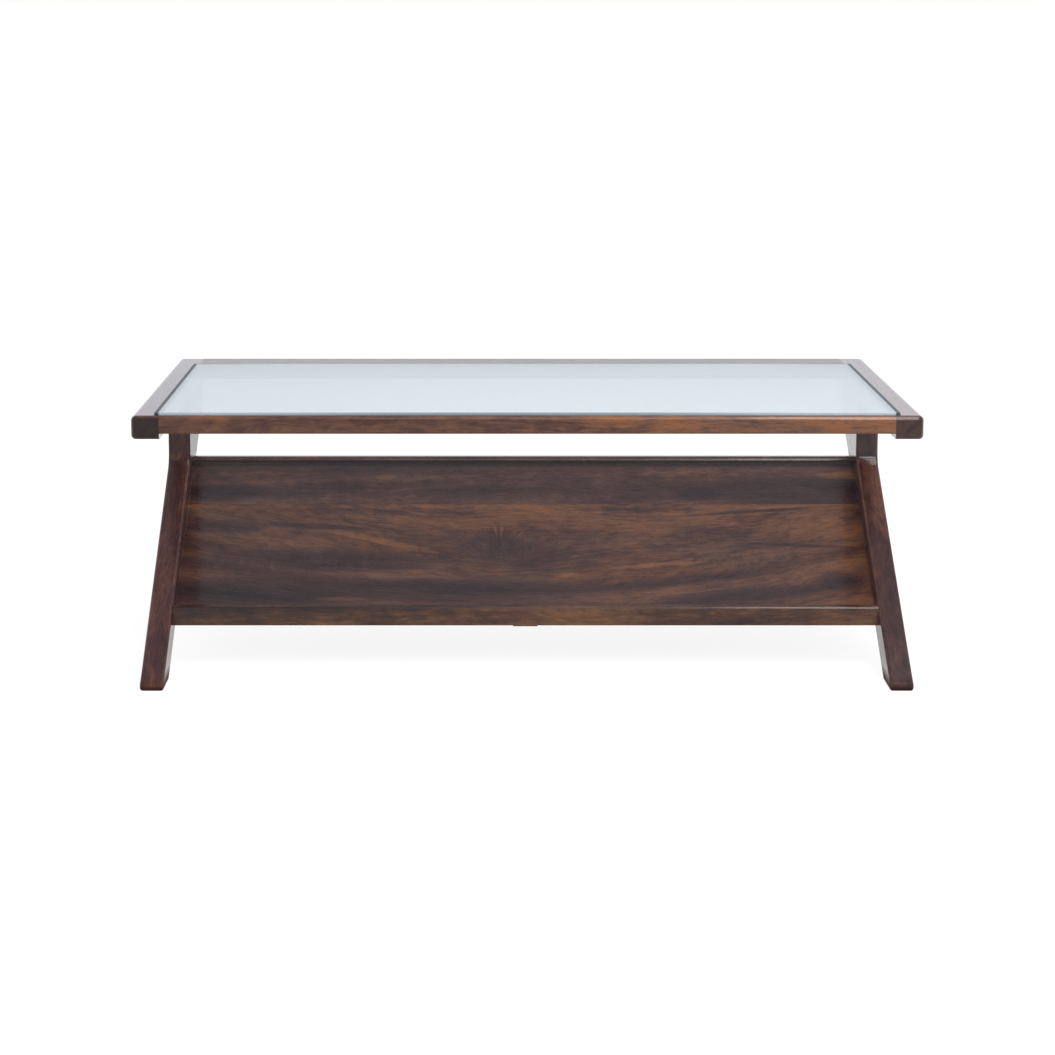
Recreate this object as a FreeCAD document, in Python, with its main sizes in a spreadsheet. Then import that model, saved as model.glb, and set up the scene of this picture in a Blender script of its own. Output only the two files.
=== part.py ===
import FreeCAD, Part
import math
import os
import Sketcher

# Coffee table with a loose glass top and a sloping magazine shelf.
# X runs along the table, the front is at -Y and Z is up. The origin is on the floor under the middle.
# Each side frame is a long front leg that leans back under the rear half of the top, a head block
# between that leg and the top frame, and a short rear leg that props the front leg from behind.

# Driving sizes in millimetres; names that end in share are ratios
SIZES = [
    ("table_length", 1200, "length of the top frame"),
    ("table_depth", 600, "depth of the top frame, and of the feet"),
    ("wood_height", 428, "height of the top frame's upper face"),
    ("fit_gap", 0.1, "glue line round tenons and screws"),
    ("end_gap", 1, "room at the blind end of a mortise or hole"),
    ("overrun", 20, "how far a cutter runs past the wood"),
    ("side_rail_width", 43, "side rail, across"),
    ("side_rail_height", 36, "side rail, upright"),
    ("side_rail_round", 8, "side rail, upper outer arris"),
    ("side_rail_under_round", 6, "side rail, lower outer arris"),
    ("side_rail_corner_round", 9, "side rail, upright corners at its ends"),
    ("front_rail_width", 25, "front rail, across"),
    ("front_rail_height", 27.5, "front rail, upright"),
    ("front_rail_round_share", 0.83, "front rail, upper front arris, of the land before the glass"),
    ("front_rail_under_round", 3, "front rail, lower front arris"),
    ("back_rail_width", 106, "back board of the top frame, across"),
    ("back_rail_height", 20, "back board of the top frame, thickness"),
    ("back_rail_round", 6, "back board, rear arrises"),
    ("rebate_depth", 3, "rebate that holds the glass, depth"),
    ("glass_thickness", 6, "glass"),
    ("glass_bearing", 8, "how far the glass lies over each side rail"),
    ("glass_front_margin", 10, "wood in front of the glass"),
    ("glass_back_bearing", 14, "how far the glass lies over the back board"),
    ("glass_gap", 1, "gap round the glass in its rebate"),
    ("glass_corner", 4, "radius of the glass corners"),
    ("glass_arris", 0.8, "ground arris of the glass"),
    ("pad_diameter", 7, "clear pads under the glass"),
    ("pad_thickness", 1, "clear pads under the glass"),
    ("pad_ledge_share", 0.5, "place of a pad across its ledge"),
    ("front_pad_share", 0.35, "outer pads, share of the table's length from the middle"),
    ("leg_thickness", 36.5, "all legs and heads, across"),
    ("leg_arris", 4.5, "rounded long edges of legs and heads"),
    ("toe_height", 11, "upright face at the toe of the front leg"),
    ("toe_round", 9, "upper toe edge"),
    ("sole_round", 5.5, "lower edges of a foot"),
    ("front_foot_length", 65, "sole of the front leg"),
    ("head_front_margin", 223, "front face of the head, before the rear of the top frame"),
    ("head_back_margin", 32, "rear face of the head, before the rear of the top frame"),
    ("head_front_height", 104.4, "front face of the head, from the knee up to the top frame"),
    ("head_back_height", 37.8, "rear face of the head, from its bend up to the top frame"),
    ("head_back_round", 10, "bend of the head's rear face"),
    ("knee_round", 30, "hollow curve between head and front leg"),
    ("knee_joint_rise", 1.4, "joint of head and leg, above the corner of their front faces"),
    ("rear_foot_margin", 10, "heel of the rear leg, before the rear of the top frame"),
    ("rear_foot_length", 50, "sole of the rear leg"),
    ("rear_top_drop", 26.5, "upper edge of the rear leg, under the joint of head and front leg"),
    ("rear_butt_height", 29.7, "rise of the rear leg's butt against the front leg"),
    ("tenon_thickness", 12, "tenons in legs and heads"),
    ("tenon_length", 18, "tenon on top of the rear leg"),
    ("tenon_shoulder", 10, "shoulder at each side of the tenon"),
    ("tenon_root", 5, "how far the tenon is rooted in its own leg"),
    ("ridge_drop", 1.3, "upper face of the upper shelf rail, under the joint of head and leg"),
    ("ridge_seat_share", 0.441, "front face of the upper shelf rail, place across the leg"),
    ("ridge_width", 20, "upper shelf rail, across"),
    ("ridge_height", 30, "upper shelf rail, upright"),
    ("ridge_front_round", 8, "upper front arris of the upper shelf rail"),
    ("ridge_back_round", 3, "upper rear arris of the upper shelf rail"),
    ("lip_seat_share", 0.412, "rear face of the lip rail, place across the leg"),
    ("lip_width", 18, "lip rail, across"),
    ("lip_height", 30.5, "lip rail, upright"),
    ("lip_bottom", 72, "underside of the lip rail"),
    ("lip_round", 5, "upper arrises of the lip rail"),
    ("shelf_step", 10.6, "rise of the upper shelf rail above the boards"),
    ("shelf_foot", 16, "lower edge of the boards' face, above the underside of the lip rail"),
    ("board_thickness", 12, "shelf boards"),
    ("top_board_share", 0.284, "upper shelf board, of the length of the slope"),
    ("lower_board_screw_share", 0.22, "outer screws of the lower shelf board, from its edges, of its width"),
    ("shelf_end_gap", 0.3, "gap between a shelf board and the legs"),
    ("batten_width", 39, "batten under the middle of the shelf"),
    ("batten_thickness", 14, "batten under the middle of the shelf"),
    ("bearer_width", 20, "bearers under the ends of the shelf"),
    ("bearer_thickness", 16, "bearers under the ends of the shelf"),
    ("bearer_setback", 15, "bearers stop short of the lip rail"),
    ("batten_top_gap", 12, "battens and bearers stop short of the upper rail"),
    ("batten_lip_gap", 1, "batten stops short of the lip rail"),
    ("batten_arris", 1.5, "eased edges of battens and bearers"),
    ("rail_tenon_depth", 22, "tenons of front rail, back board and heads"),
    ("front_tenon_width_share", 0.4, "tenon of the front rail, of its width"),
    ("front_tenon_height_share", 0.58, "tenon of the front rail, of its height"),
    ("back_tenon_width_share", 0.62, "tenon of the back board, of its width"),
    ("back_tenon_height_share", 0.4, "tenon of the back board, of its height"),
    ("head_tenon_edge_share", 0.12, "outer ends of the twin tenons of a head, from its front and rear"),
    ("head_tenon_inner_share", 0.42, "inner ends of the twin tenons of a head, from its front and rear"),
    ("leg_tenon_depth", 10, "tenons of the shelf rails, in the side of a leg"),
    ("ridge_tenon_width_share", 0.45, "tenon of the upper shelf rail, of its width"),
    ("ridge_tenon_height_share", 0.4, "tenon of the upper shelf rail, of its height"),
    ("lip_tenon_width_share", 0.45, "tenon of the lip rail, of its width"),
    ("lip_tenon_height_share", 0.6, "tenon of the lip rail, of its height"),
    ("knee_tenon_depth", 12, "loose tenon of the knee, depth in the front leg"),
    ("knee_tenon_front_share", 0.2, "loose tenon of the knee, from the front to the rear of the joint"),
    ("knee_tenon_back_share", 0.7, "loose tenon of the knee, from the front to the rear of the joint"),
    ("screw_diameter", 4, "steel wood screws"),
    ("screw_head_diameter", 8, "round screw heads"),
    ("screw_head_height", 2.4, "round screw heads"),
    ("leg_screw_grip", 14, "bearer screws, length in the leg"),
    ("board_screw_grip", 7, "screws up into the boards, length in the board"),
    ("first_leg_screw_share", 0.3, "leg screws along the bearer"),
    ("second_leg_screw_share", 0.75, "leg screws along the bearer"),
]


class Size:
    """A number together with the expression that drives it from the sheet."""

    def __init__(self, text, value):
        self.text = text
        self.value = value

    def join(self, sign, other, value, swapped=False):
        other_text = other.text if isinstance(other, Size) else repr(other)
        first, last = (other_text, self.text) if swapped else (self.text, other_text)
        return Size(f"({first} {sign} {last})", value)

    def __add__(self, other):
        return self.join("+", other, self.value + number(other))

    def __radd__(self, other):
        return self.join("+", other, number(other) + self.value, True)

    def __sub__(self, other):
        return self.join("-", other, self.value - number(other))

    def __rsub__(self, other):
        return self.join("-", other, number(other) - self.value, True)

    def __mul__(self, other):
        return self.join("*", other, self.value * number(other))

    def __rmul__(self, other):
        return self.join("*", other, number(other) * self.value, True)

    def __truediv__(self, other):
        return self.join("/", other, self.value / number(other))

    def __rtruediv__(self, other):
        return self.join("/", other, number(other) / self.value, True)

    def __neg__(self):
        return Size(f"(-1 * {self.text})", -self.value)

    def root(self):
        return Size(f"sqrt({self.text})", math.sqrt(self.value))


def number(size):
    return size.value if isinstance(size, Size) else size


os.makedirs("parts", exist_ok=True)
doc = FreeCAD.newDocument("CoffeeTable")
sheet = doc.addObject("Spreadsheet::Sheet", "Sizes")
size = {}
for row, (alias, value, meaning) in enumerate(SIZES, start=1):
    sheet.set(f"A{row}", alias)
    sheet.set(f"B{row}", str(value))
    sheet.set(f"C{row}", meaning)
    sheet.setAlias(f"B{row}", alias)
    size[alias] = Size(f"Sizes.{alias}", value)
doc.recompute()

nodes = []
NEAR = 1e-4


def bind(target, path, value):
    """Drive a property of an object with a size."""
    if isinstance(value, Size):
        target.setExpression(path, value.text)
    elif value:
        raise ValueError(f"{target.Label}: {path} has no named size")


def new_body(label):
    body = doc.addObject("PartDesign::Body", label)
    body.Label = label
    nodes.append(body)
    return body


def place(body, at):
    for axis, value in zip("xyz", at):
        bind(body, f"Placement.Base.{axis}", value)


def new_sketch(body, role, level=0):
    """A sketch on one of the body's own origin planes, lifted off it by level."""
    sketch = body.newObject("Sketcher::SketchObject", f"{body.Name}_sketch")
    plane = next(item for item in body.Origin.OriginFeatures if item.Role == role)
    sketch.AttachmentSupport = [(plane, "")]
    sketch.MapMode = "FlatFace"
    bind(sketch, "AttachmentOffset.Base.z", level)
    return sketch


def pin(sketch, geometry, vertex, point):
    """Hold a vertex at a driven place."""
    for kind, axis, value in (("DistanceX", -2, point[0]), ("DistanceY", -1, point[1])):
        if isinstance(value, Size):
            rule = Sketcher.Constraint(kind, -1, 1, geometry, vertex, value.value)
            index = sketch.addConstraint(rule)
            sketch.setExpression(f"Constraints[{index}]", value.text)
        else:
            sketch.addConstraint(Sketcher.Constraint("PointOnObject", geometry, vertex, axis))


def draw_outline(sketch, points):
    """A closed outline of straight lines through driven points."""
    places = [FreeCAD.Vector(number(x), number(y), 0) for x, y in points]
    for start, end in zip(places, places[1:] + places[:1]):
        sketch.addGeometry(Part.LineSegment(start, end), False)
    for index in range(len(points)):
        following = (index + 1) % len(points)
        sketch.addConstraint(Sketcher.Constraint("Coincident", index, 2, following, 1))
    for index, point in enumerate(points):
        pin(sketch, index, 1, point)


def draw_rectangle(sketch, low, high):
    draw_outline(sketch, [low, (high[0], low[1]), high, (low[0], high[1])])


def draw_circles(sketch, centres, diameter):
    for index, (x, y) in enumerate(centres):
        centre = FreeCAD.Vector(number(x), number(y), 0)
        circle = Part.Circle(centre, FreeCAD.Vector(0, 0, 1), number(diameter) / 2)
        sketch.addGeometry(circle, False)
        rule = sketch.addConstraint(Sketcher.Constraint("Diameter", index, number(diameter)))
        sketch.setExpression(f"Constraints[{rule}]", diameter.text)
        pin(sketch, index, 3, (x, y))


def pad(body, sketch, length, midplane=True, backwards=False):
    feature = body.newObject("PartDesign::Pad", f"{body.Name}_pad")
    feature.Profile = sketch
    feature.Midplane = midplane
    feature.Reversed = backwards
    bind(feature, "Length", length)
    body.Tip = feature
    doc.recompute()
    return feature


def pocket(body, sketch, depth, midplane=False, backwards=False):
    """Cut a sketch out of the body, and make sure that it met wood."""
    before = body.Shape.Volume
    feature = body.newObject("PartDesign::Pocket", f"{body.Name}_pocket")
    feature.Profile = sketch
    feature.Midplane = midplane
    feature.Reversed = backwards
    bind(feature, "Length", depth)
    body.Tip = feature
    doc.recompute()
    if not body.Shape.Volume < before - NEAR:
        raise RuntimeError(f"{body.Label}: a cut met no wood")
    return feature


def drill(body, role, level, centres, diameter, depth, backwards=False):
    sketch = new_sketch(body, role, level)
    draw_circles(sketch, centres, diameter)
    return pocket(body, sketch, depth, backwards=backwards)


def edges_of(body, test):
    return [f"Edge{index}" for index, edge in enumerate(body.Shape.Edges, start=1) if test(edge)]


def along_x(y, z):
    """Test for the edge that runs along X through a place in the side view."""

    def test(edge):
        return all(
            abs(vertex.Point.y - number(y)) < NEAR and abs(vertex.Point.z - number(z)) < NEAR
            for vertex in edge.Vertexes
        )

    return test


def upright(edge):
    """Test for the edges that run up."""
    low, high = (vertex.Point for vertex in (edge.Vertexes[0], edge.Vertexes[-1]))
    return abs(low.z - high.z) > NEAR and abs(low.x - high.x) < NEAR and abs(low.y - high.y) < NEAR


def on_face(axis, level, apart_from=()):
    """Test for the edges that lie in a face across an axis, apart from those on other faces."""

    def lies(edge, line, height):
        return all(abs(getattr(vertex.Point, line) - number(height)) < NEAR for vertex in edge.Vertexes)

    def test(edge):
        return lies(edge, axis, level) and not any(lies(edge, *face) for face in apart_from)

    return test


def ease(body, test, radius, kind="Fillet"):
    """Round or chamfer the edges that a test picks."""
    picked = edges_of(body, test)
    if not picked:
        raise RuntimeError(f"{body.Label}: no edge to ease")
    base = body.Tip
    feature = body.newObject(f"PartDesign::{kind}", f"{body.Name}_{kind.lower()}")
    feature.Base = (base, picked)
    bind(feature, "Radius" if kind == "Fillet" else "Size", radius)
    body.Tip = feature
    doc.recompute()
    if "Invalid" in feature.State:
        raise RuntimeError(f"{body.Label}: edges of {number(radius)} did not build")
    return feature


def any_of(*tests):
    return lambda edge: any(test(edge) for test in tests)


# Places shared by several pieces
half_length = size["table_length"] / 2
half_depth = size["table_depth"] / 2
wood_top = size["wood_height"]
frame_under = wood_top - size["side_rail_height"]
inner = half_length - size["side_rail_width"]
leg_middle = inner + size["leg_thickness"] / 2
half_leg = size["leg_thickness"] / 2
ledge = wood_top - size["rebate_depth"]
screw_hole = size["screw_diameter"] + 2 * size["fit_gap"]

glass_half = inner + size["glass_bearing"]
glass_front = -half_depth + size["glass_front_margin"]
glass_back = half_depth - size["back_rail_width"] + size["glass_back_bearing"]

# Side view of a side frame
heel = -half_depth + size["front_foot_length"]
head_front = half_depth - size["head_front_margin"]
head_back = half_depth - size["head_back_margin"]
knee = frame_under - size["head_front_height"]
knee_joint = knee + size["knee_joint_rise"]
head_bend = frame_under - size["head_back_height"]
front_lean = (head_front + half_depth) / (knee - size["toe_height"])
back_lean = (head_back - heel) / head_bend


def leg_front(height):
    """Front face of the front leg at a height."""
    return -half_depth + front_lean * (height - size["toe_height"])


def leg_back(height):
    """Rear face of the front leg at a height."""
    return heel + back_lean * height


def across_leg(height, share):
    """Place across the front leg at a height, from its front to its rear face."""
    return leg_front(height) + (leg_back(height) - leg_front(height)) * share


rear_heel = half_depth - size["rear_foot_margin"]
rear_toe = rear_heel - size["rear_foot_length"]
rear_high = knee_joint - size["rear_top_drop"]
rear_low = rear_high - size["rear_butt_height"]

# Side view of the shelf, measured down the slope from the upper rail
ridge_top = knee_joint - size["ridge_drop"]
shelf_top = ridge_top - size["shelf_step"]
shelf_low = size["lip_bottom"] + size["shelf_foot"]
ridge_front = across_leg(shelf_top, size["ridge_seat_share"])
lip_back = across_leg(shelf_low, size["lip_seat_share"])
lip_front = lip_back - size["lip_width"]
shelf_rise = (shelf_top - shelf_low) / (ridge_front - lip_back)
slope_long = (1 + shelf_rise * shelf_rise).root()
slope_run = 1 / slope_long
slope_rise = shelf_rise / slope_long
shelf_length = (ridge_front - lip_back) * slope_long
board_seam = shelf_length * size["top_board_share"]
screw_margin = (shelf_length - board_seam) * size["lower_board_screw_share"]
top_board_screws = [board_seam / 2]
lower_board_screws = [board_seam + screw_margin, shelf_length - screw_margin]


def on_shelf(along, depth):
    """Place in the side view of a point that far down the slope and that deep under the boards' face."""
    y = ridge_front - along * slope_run + depth * slope_rise
    z = shelf_top - along * slope_rise - depth * slope_run
    return y, z


def tilt(thing):
    """Turn a piece from level to the shelf's slope, with its origin at the shelf's upper edge."""
    thing.Placement = FreeCAD.Placement(FreeCAD.Vector(), FreeCAD.Rotation(FreeCAD.Vector(1, 0, 0), 1))
    thing.setExpression("Placement.Rotation.Angle", f"atan({shelf_rise.text})")


def amid(low, high, width_share, height_share):
    """Rectangle in the middle of another, a share of its width and of its height."""
    rest_y = (high[0] - low[0]) * (1 - width_share) / 2
    rest_z = (high[1] - low[1]) * (1 - height_share) / 2
    return (low[0] + rest_y, low[1] + rest_z), (high[0] - rest_y, high[1] - rest_z)


# Tenons of the rails, as rectangles in the side view
front_tenon = amid(
    (-half_depth, wood_top - size["front_rail_height"]),
    (-half_depth + size["front_rail_width"], wood_top),
    size["front_tenon_width_share"],
    size["front_tenon_height_share"],
)
back_tenon = amid(
    (half_depth - size["back_rail_width"], wood_top - size["back_rail_height"]),
    (half_depth, wood_top),
    size["back_tenon_width_share"],
    size["back_tenon_height_share"],
)
lip_tenon = amid(
    (lip_front, size["lip_bottom"]),
    (lip_back, size["lip_bottom"] + size["lip_height"]),
    size["lip_tenon_width_share"],
    size["lip_tenon_height_share"],
)
ridge_tenon = amid(
    (ridge_front, ridge_top - size["ridge_height"]),
    (ridge_front + size["ridge_width"], ridge_top),
    size["ridge_tenon_width_share"],
    size["ridge_tenon_height_share"],
)

# Tenons of head and knee, as places across the leg and from front to rear
half_tenon = size["tenon_thickness"] / 2
outer_end = (head_back - head_front) * size["head_tenon_edge_share"]
inner_end = (head_back - head_front) * size["head_tenon_inner_share"]
head_tenons = [(head_front + outer_end, head_front + inner_end), (head_back - inner_end, head_back - outer_end)]
knee_length = leg_back(knee_joint) - head_front
knee_tenon = (
    head_front + knee_length * size["knee_tenon_front_share"],
    head_front + knee_length * size["knee_tenon_back_share"],
)

# Places of the screws
leg_screw_lines = [shelf_length * size[name] for name in ("first_leg_screw_share", "second_leg_screw_share")]
bearer_middle = size["board_thickness"] + size["bearer_thickness"] / 2
leg_screw_places = [on_shelf(line, bearer_middle) for line in leg_screw_lines]


def mortise(body, role, level, low, high, depth, backwards=False):
    """Blind rectangular hole with room for glue round its tenon."""
    gap = size["fit_gap"]
    sketch = new_sketch(body, role, level)
    draw_rectangle(sketch, (low[0] - gap, low[1] - gap), (high[0] + gap, high[1] + gap))
    pocket(body, sketch, depth + size["end_gap"], backwards=backwards)


def tenons_at_both_ends(body, corners, depth):
    """Tenons on a rail that reaches from side to side."""
    sketch = new_sketch(body, "YZ_Plane")
    draw_rectangle(sketch, *corners)
    pad(body, sketch, 2 * (inner + depth))


def side_rail(label, side):
    """Side rail of the top frame: rounded outside, rebated inside and mortised."""
    body = new_body(label)
    outer = side * half_length
    sketch = new_sketch(body, "XZ_Plane")
    draw_rectangle(sketch, (side * inner, frame_under), (outer, wood_top))
    pad(body, sketch, size["table_depth"])

    ease(body, lambda edge: upright(edge) and on_face("x", outer)(edge), size["side_rail_corner_round"])
    inner_face = ("x", side * inner)
    ease(body, on_face("z", wood_top, [inner_face]), size["side_rail_round"])
    ease(body, on_face("z", frame_under, [inner_face]), size["side_rail_under_round"])
    rebate = new_sketch(body, "XY_Plane", ledge)
    draw_rectangle(
        rebate,
        (side * (inner - size["overrun"]), glass_front - size["glass_gap"]),
        (side * (glass_half + size["glass_gap"]), glass_back + size["glass_gap"]),
    )
    pocket(body, rebate, size["rebate_depth"] + size["overrun"], backwards=True)
    depth = size["rail_tenon_depth"]
    for corners in (front_tenon, back_tenon):
        mortise(body, "YZ_Plane", side * inner, *corners, depth, side > 0)
    low_x, high_x = side * leg_middle - half_tenon, side * leg_middle + half_tenon
    for front, back in head_tenons:
        mortise(body, "XY_Plane", frame_under, (low_x, front), (high_x, back), depth, True)


def front_rail():
    """Thin front rail with a land in front of the glass."""
    body = new_body("front_rail")
    sketch = new_sketch(body, "YZ_Plane")
    low = wood_top - size["front_rail_height"]
    back = -half_depth + size["front_rail_width"]
    draw_outline(
        sketch,
        [
            (-half_depth, low),
            (back, low),
            (back, ledge),
            (glass_front - size["glass_gap"], ledge),
            (glass_front - size["glass_gap"], wood_top),
            (-half_depth, wood_top),
        ],
    )
    pad(body, sketch, 2 * inner)
    ease(body, along_x(-half_depth, low), size["front_rail_under_round"])
    land = size["glass_front_margin"] - size["glass_gap"]
    ease(body, along_x(-half_depth, wood_top), land * size["front_rail_round_share"])
    tenons_at_both_ends(body, front_tenon, size["rail_tenon_depth"])


def back_rail():
    """Wide board behind the glass."""
    body = new_body("back_rail")
    sketch = new_sketch(body, "YZ_Plane")
    low = wood_top - size["back_rail_height"]
    front = half_depth - size["back_rail_width"]
    step = glass_back + size["glass_gap"]
    draw_outline(
        sketch,
        [
            (front, low),
            (half_depth, low),
            (half_depth, wood_top),
            (step, wood_top),
            (step, ledge),
            (front, ledge),
        ],
    )
    pad(body, sketch, 2 * inner)
    ease(body, any_of(along_x(half_depth, low), along_x(half_depth, wood_top)), size["back_rail_round"])
    tenons_at_both_ends(body, back_tenon, size["rail_tenon_depth"])


def glass_pane():
    """Loose pane on its pads, with rounded corners and ground edges."""
    body = new_body("glass_pane")
    low = ledge + size["pad_thickness"]
    sketch = new_sketch(body, "XY_Plane", low)
    draw_rectangle(sketch, (-glass_half, glass_front), (glass_half, glass_back))
    pad(body, sketch, size["glass_thickness"], midplane=False)
    ease(body, upright, size["glass_corner"])
    faces = any_of(on_face("z", low), on_face("z", low + size["glass_thickness"]))
    ease(body, faces, size["glass_arris"], "Chamfer")


def side_blank(body):
    """Front leg and head in one: the outline of the side frame's long member, with its rounded edges."""
    sketch = new_sketch(body, "YZ_Plane")
    draw_outline(
        sketch,
        [
            (-half_depth, 0),
            (heel, 0),
            (head_back, head_bend),
            (head_back, frame_under),
            (head_front, frame_under),
            (head_front, knee),
            (-half_depth, size["toe_height"]),
        ],
    )
    pad(body, sketch, size["leg_thickness"])
    ease(body, along_x(head_front, knee), size["knee_round"])
    ease(body, along_x(head_back, head_bend), size["head_back_round"])
    ease(body, along_x(-half_depth, size["toe_height"]), size["toe_round"])
    ease(body, any_of(along_x(-half_depth, 0), along_x(heel, 0)), size["sole_round"])
    top_face = ("z", frame_under)
    flanks = any_of(on_face("x", half_leg, [top_face]), on_face("x", -half_leg, [top_face]))
    ease(body, flanks, size["leg_arris"])


def head(label, side):
    """Block between the front leg and the side rail."""
    body = new_body(label)
    side_blank(body)
    waste = new_sketch(body, "YZ_Plane")
    draw_rectangle(
        waste,
        (-half_depth - size["overrun"], -size["overrun"]),
        (head_back + size["overrun"], knee_joint),
    )
    pocket(body, waste, size["leg_thickness"] + size["overrun"], midplane=True)
    mortise(
        body, "XY_Plane", knee_joint, (-half_tenon, knee_tenon[0]), (half_tenon, knee_tenon[1]),
        size["rail_tenon_depth"], True,
    )
    for front, back in head_tenons:
        root = size["tenon_root"]
        tenon = new_sketch(body, "XY_Plane", frame_under - root)
        draw_rectangle(tenon, (-half_tenon, front), (half_tenon, back))
        pad(body, tenon, root + size["rail_tenon_depth"], midplane=False)
    place(body, (side * leg_middle, 0, 0))


def rear_tenon_outline(gap, root, reach):
    """Side view of the rear leg's tenon, grown by a gap, from a root under its shoulder to its reach above."""
    long = (1 + back_lean * back_lean).root()
    along = (back_lean / long, 1 / long)
    across = (-1 / long, back_lean / long)
    shoulder = size["tenon_shoulder"] - gap
    low = (leg_back(rear_low) + along[0] * shoulder, rear_low + along[1] * shoulder)
    high = (leg_back(rear_high) - along[0] * shoulder, rear_high - along[1] * shoulder)
    return [
        (low[0] - across[0] * root, low[1] - across[1] * root),
        (high[0] - across[0] * root, high[1] - across[1] * root),
        (high[0] + across[0] * reach, high[1] + across[1] * reach),
        (low[0] + across[0] * reach, low[1] + across[1] * reach),
    ]


def front_leg(label, side):
    """Long leaning leg, mortised for the knee, the rear leg and the shelf rails."""
    body = new_body(label)
    side_blank(body)
    waste = new_sketch(body, "YZ_Plane")
    draw_rectangle(
        waste,
        (-half_depth - size["overrun"], knee_joint),
        (head_back + size["overrun"], wood_top),
    )
    pocket(body, waste, size["leg_thickness"] + size["overrun"], midplane=True)
    slot = new_sketch(body, "YZ_Plane")
    draw_outline(
        slot,
        rear_tenon_outline(size["fit_gap"], size["tenon_root"], size["tenon_length"] + size["end_gap"]),
    )
    pocket(body, slot, size["tenon_thickness"] + 2 * size["fit_gap"], midplane=True)
    mortise(
        body, "XY_Plane", knee_joint, (-half_tenon, knee_tenon[0]), (half_tenon, knee_tenon[1]),
        size["knee_tenon_depth"],
    )
    face = -side * half_leg
    outward = side > 0
    for corners in (ridge_tenon, lip_tenon):
        mortise(body, "YZ_Plane", face, *corners, size["leg_tenon_depth"], outward)
    depth = size["leg_screw_grip"] + size["end_gap"]
    drill(body, "YZ_Plane", face, leg_screw_places, screw_hole, depth, outward)
    place(body, (side * leg_middle, 0, 0))


def rear_leg(label, side):
    """Prop behind the front leg, with a tenon at its upper end."""
    body = new_body(label)
    sketch = new_sketch(body, "YZ_Plane")
    shoulder = [(leg_back(rear_high), rear_high), (leg_back(rear_low), rear_low)]
    draw_outline(sketch, [(rear_toe, 0), (rear_heel, 0)] + shoulder)
    pad(body, sketch, size["leg_thickness"])
    ease(body, any_of(along_x(rear_toe, 0), along_x(rear_heel, 0)), size["sole_round"])

    def on_shoulder(edge):
        return all(abs(vertex.Point.y - leg_back(vertex.Point.z).value) < NEAR for vertex in edge.Vertexes)

    flanks = any_of(on_face("x", half_leg), on_face("x", -half_leg))
    ease(body, lambda edge: flanks(edge) and not on_shoulder(edge), size["leg_arris"])
    tenon = new_sketch(body, "YZ_Plane")
    draw_outline(tenon, rear_tenon_outline(0, size["tenon_root"], size["tenon_length"]))
    pad(body, tenon, size["tenon_thickness"])
    place(body, (side * leg_middle, 0, 0))


def shelf_rail(label, low, high, front_round, back_round, tenon):
    """Rail between the two side frames, with rounded upper edges and tenons."""
    body = new_body(label)
    sketch = new_sketch(body, "YZ_Plane")
    draw_rectangle(sketch, low, high)
    pad(body, sketch, 2 * inner)
    ease(body, along_x(low[0], high[1]), front_round)
    ease(body, along_x(high[0], high[1]), back_round)
    tenons_at_both_ends(body, tenon, size["leg_tenon_depth"])


def tilt_in_place(body):
    tilt(body)
    place(body, (0, ridge_front, shelf_top))


def shelf_board(label, outline, screw_lines):
    """One board of the sloping shelf, from its outline seen along its length."""
    body = new_body(label)
    deep = size["board_thickness"]
    sketch = new_sketch(body, "YZ_Plane")
    draw_outline(sketch, outline)
    pad(body, sketch, 2 * (inner - size["shelf_end_gap"]))
    bearer_line = inner - size["bearer_width"] / 2
    centres = [(x, -line) for line in screw_lines for x in (-bearer_line, 0, bearer_line)]
    drill(body, "XY_Plane", -deep, centres, screw_hole, size["board_screw_grip"] + size["end_gap"], True)
    tilt_in_place(body)


def batten(label, middle, width, thick, far):
    """Bar under the shelf boards, with a hole for each screw."""
    body = new_body(label)
    top = -size["board_thickness"]
    sketch = new_sketch(body, "YZ_Plane")
    draw_rectangle(sketch, (-far, top - thick), (-size["batten_top_gap"], top))
    pad(body, sketch, width)
    ease(body, on_face("z", top - thick), size["batten_arris"], "Chamfer")
    holes = [(0, -line) for line in top_board_screws + lower_board_screws]
    drill(body, "XY_Plane", top - thick, holes, screw_hole, thick + size["overrun"], True)
    tilt(body)
    place(body, (middle, ridge_front, shelf_top))
    return body


def bearer(label, side):
    """Bar on the inner face of a front leg that carries the ends of the shelf boards."""
    body = batten(
        label,
        side * (inner - size["bearer_width"] / 2),
        size["bearer_width"],
        size["bearer_thickness"],
        shelf_length - size["bearer_setback"],
    )
    face = -side * size["bearer_width"] / 2
    holes = [(-line, -bearer_middle) for line in leg_screw_lines]
    drill(body, "YZ_Plane", face, holes, screw_hole, size["bearer_width"] + size["overrun"], side > 0)


def group(label, solids):
    """One node that holds several separate solids."""
    bundle = doc.addObject("Part::Compound", label)
    bundle.Label = label
    bundle.Links = solids
    nodes.append(bundle)


TURN_X = FreeCAD.Rotation(FreeCAD.Vector(0, 1, 0), 90)
TURN_BACK_X = FreeCAD.Rotation(FreeCAD.Vector(0, 1, 0), -90)
UPRIGHT = FreeCAD.Rotation()
SCREW_SIDES = 12
PAD_SIDES = 24


def many_sided(label, sides, diameter, height):
    """Nearly round bar with few faces, for what repeats."""
    bar = doc.addObject("Part::Prism", label)
    bar.Polygon = sides
    bind(bar, "Circumradius", diameter / 2)
    bind(bar, "Height", height)
    return bar


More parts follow.
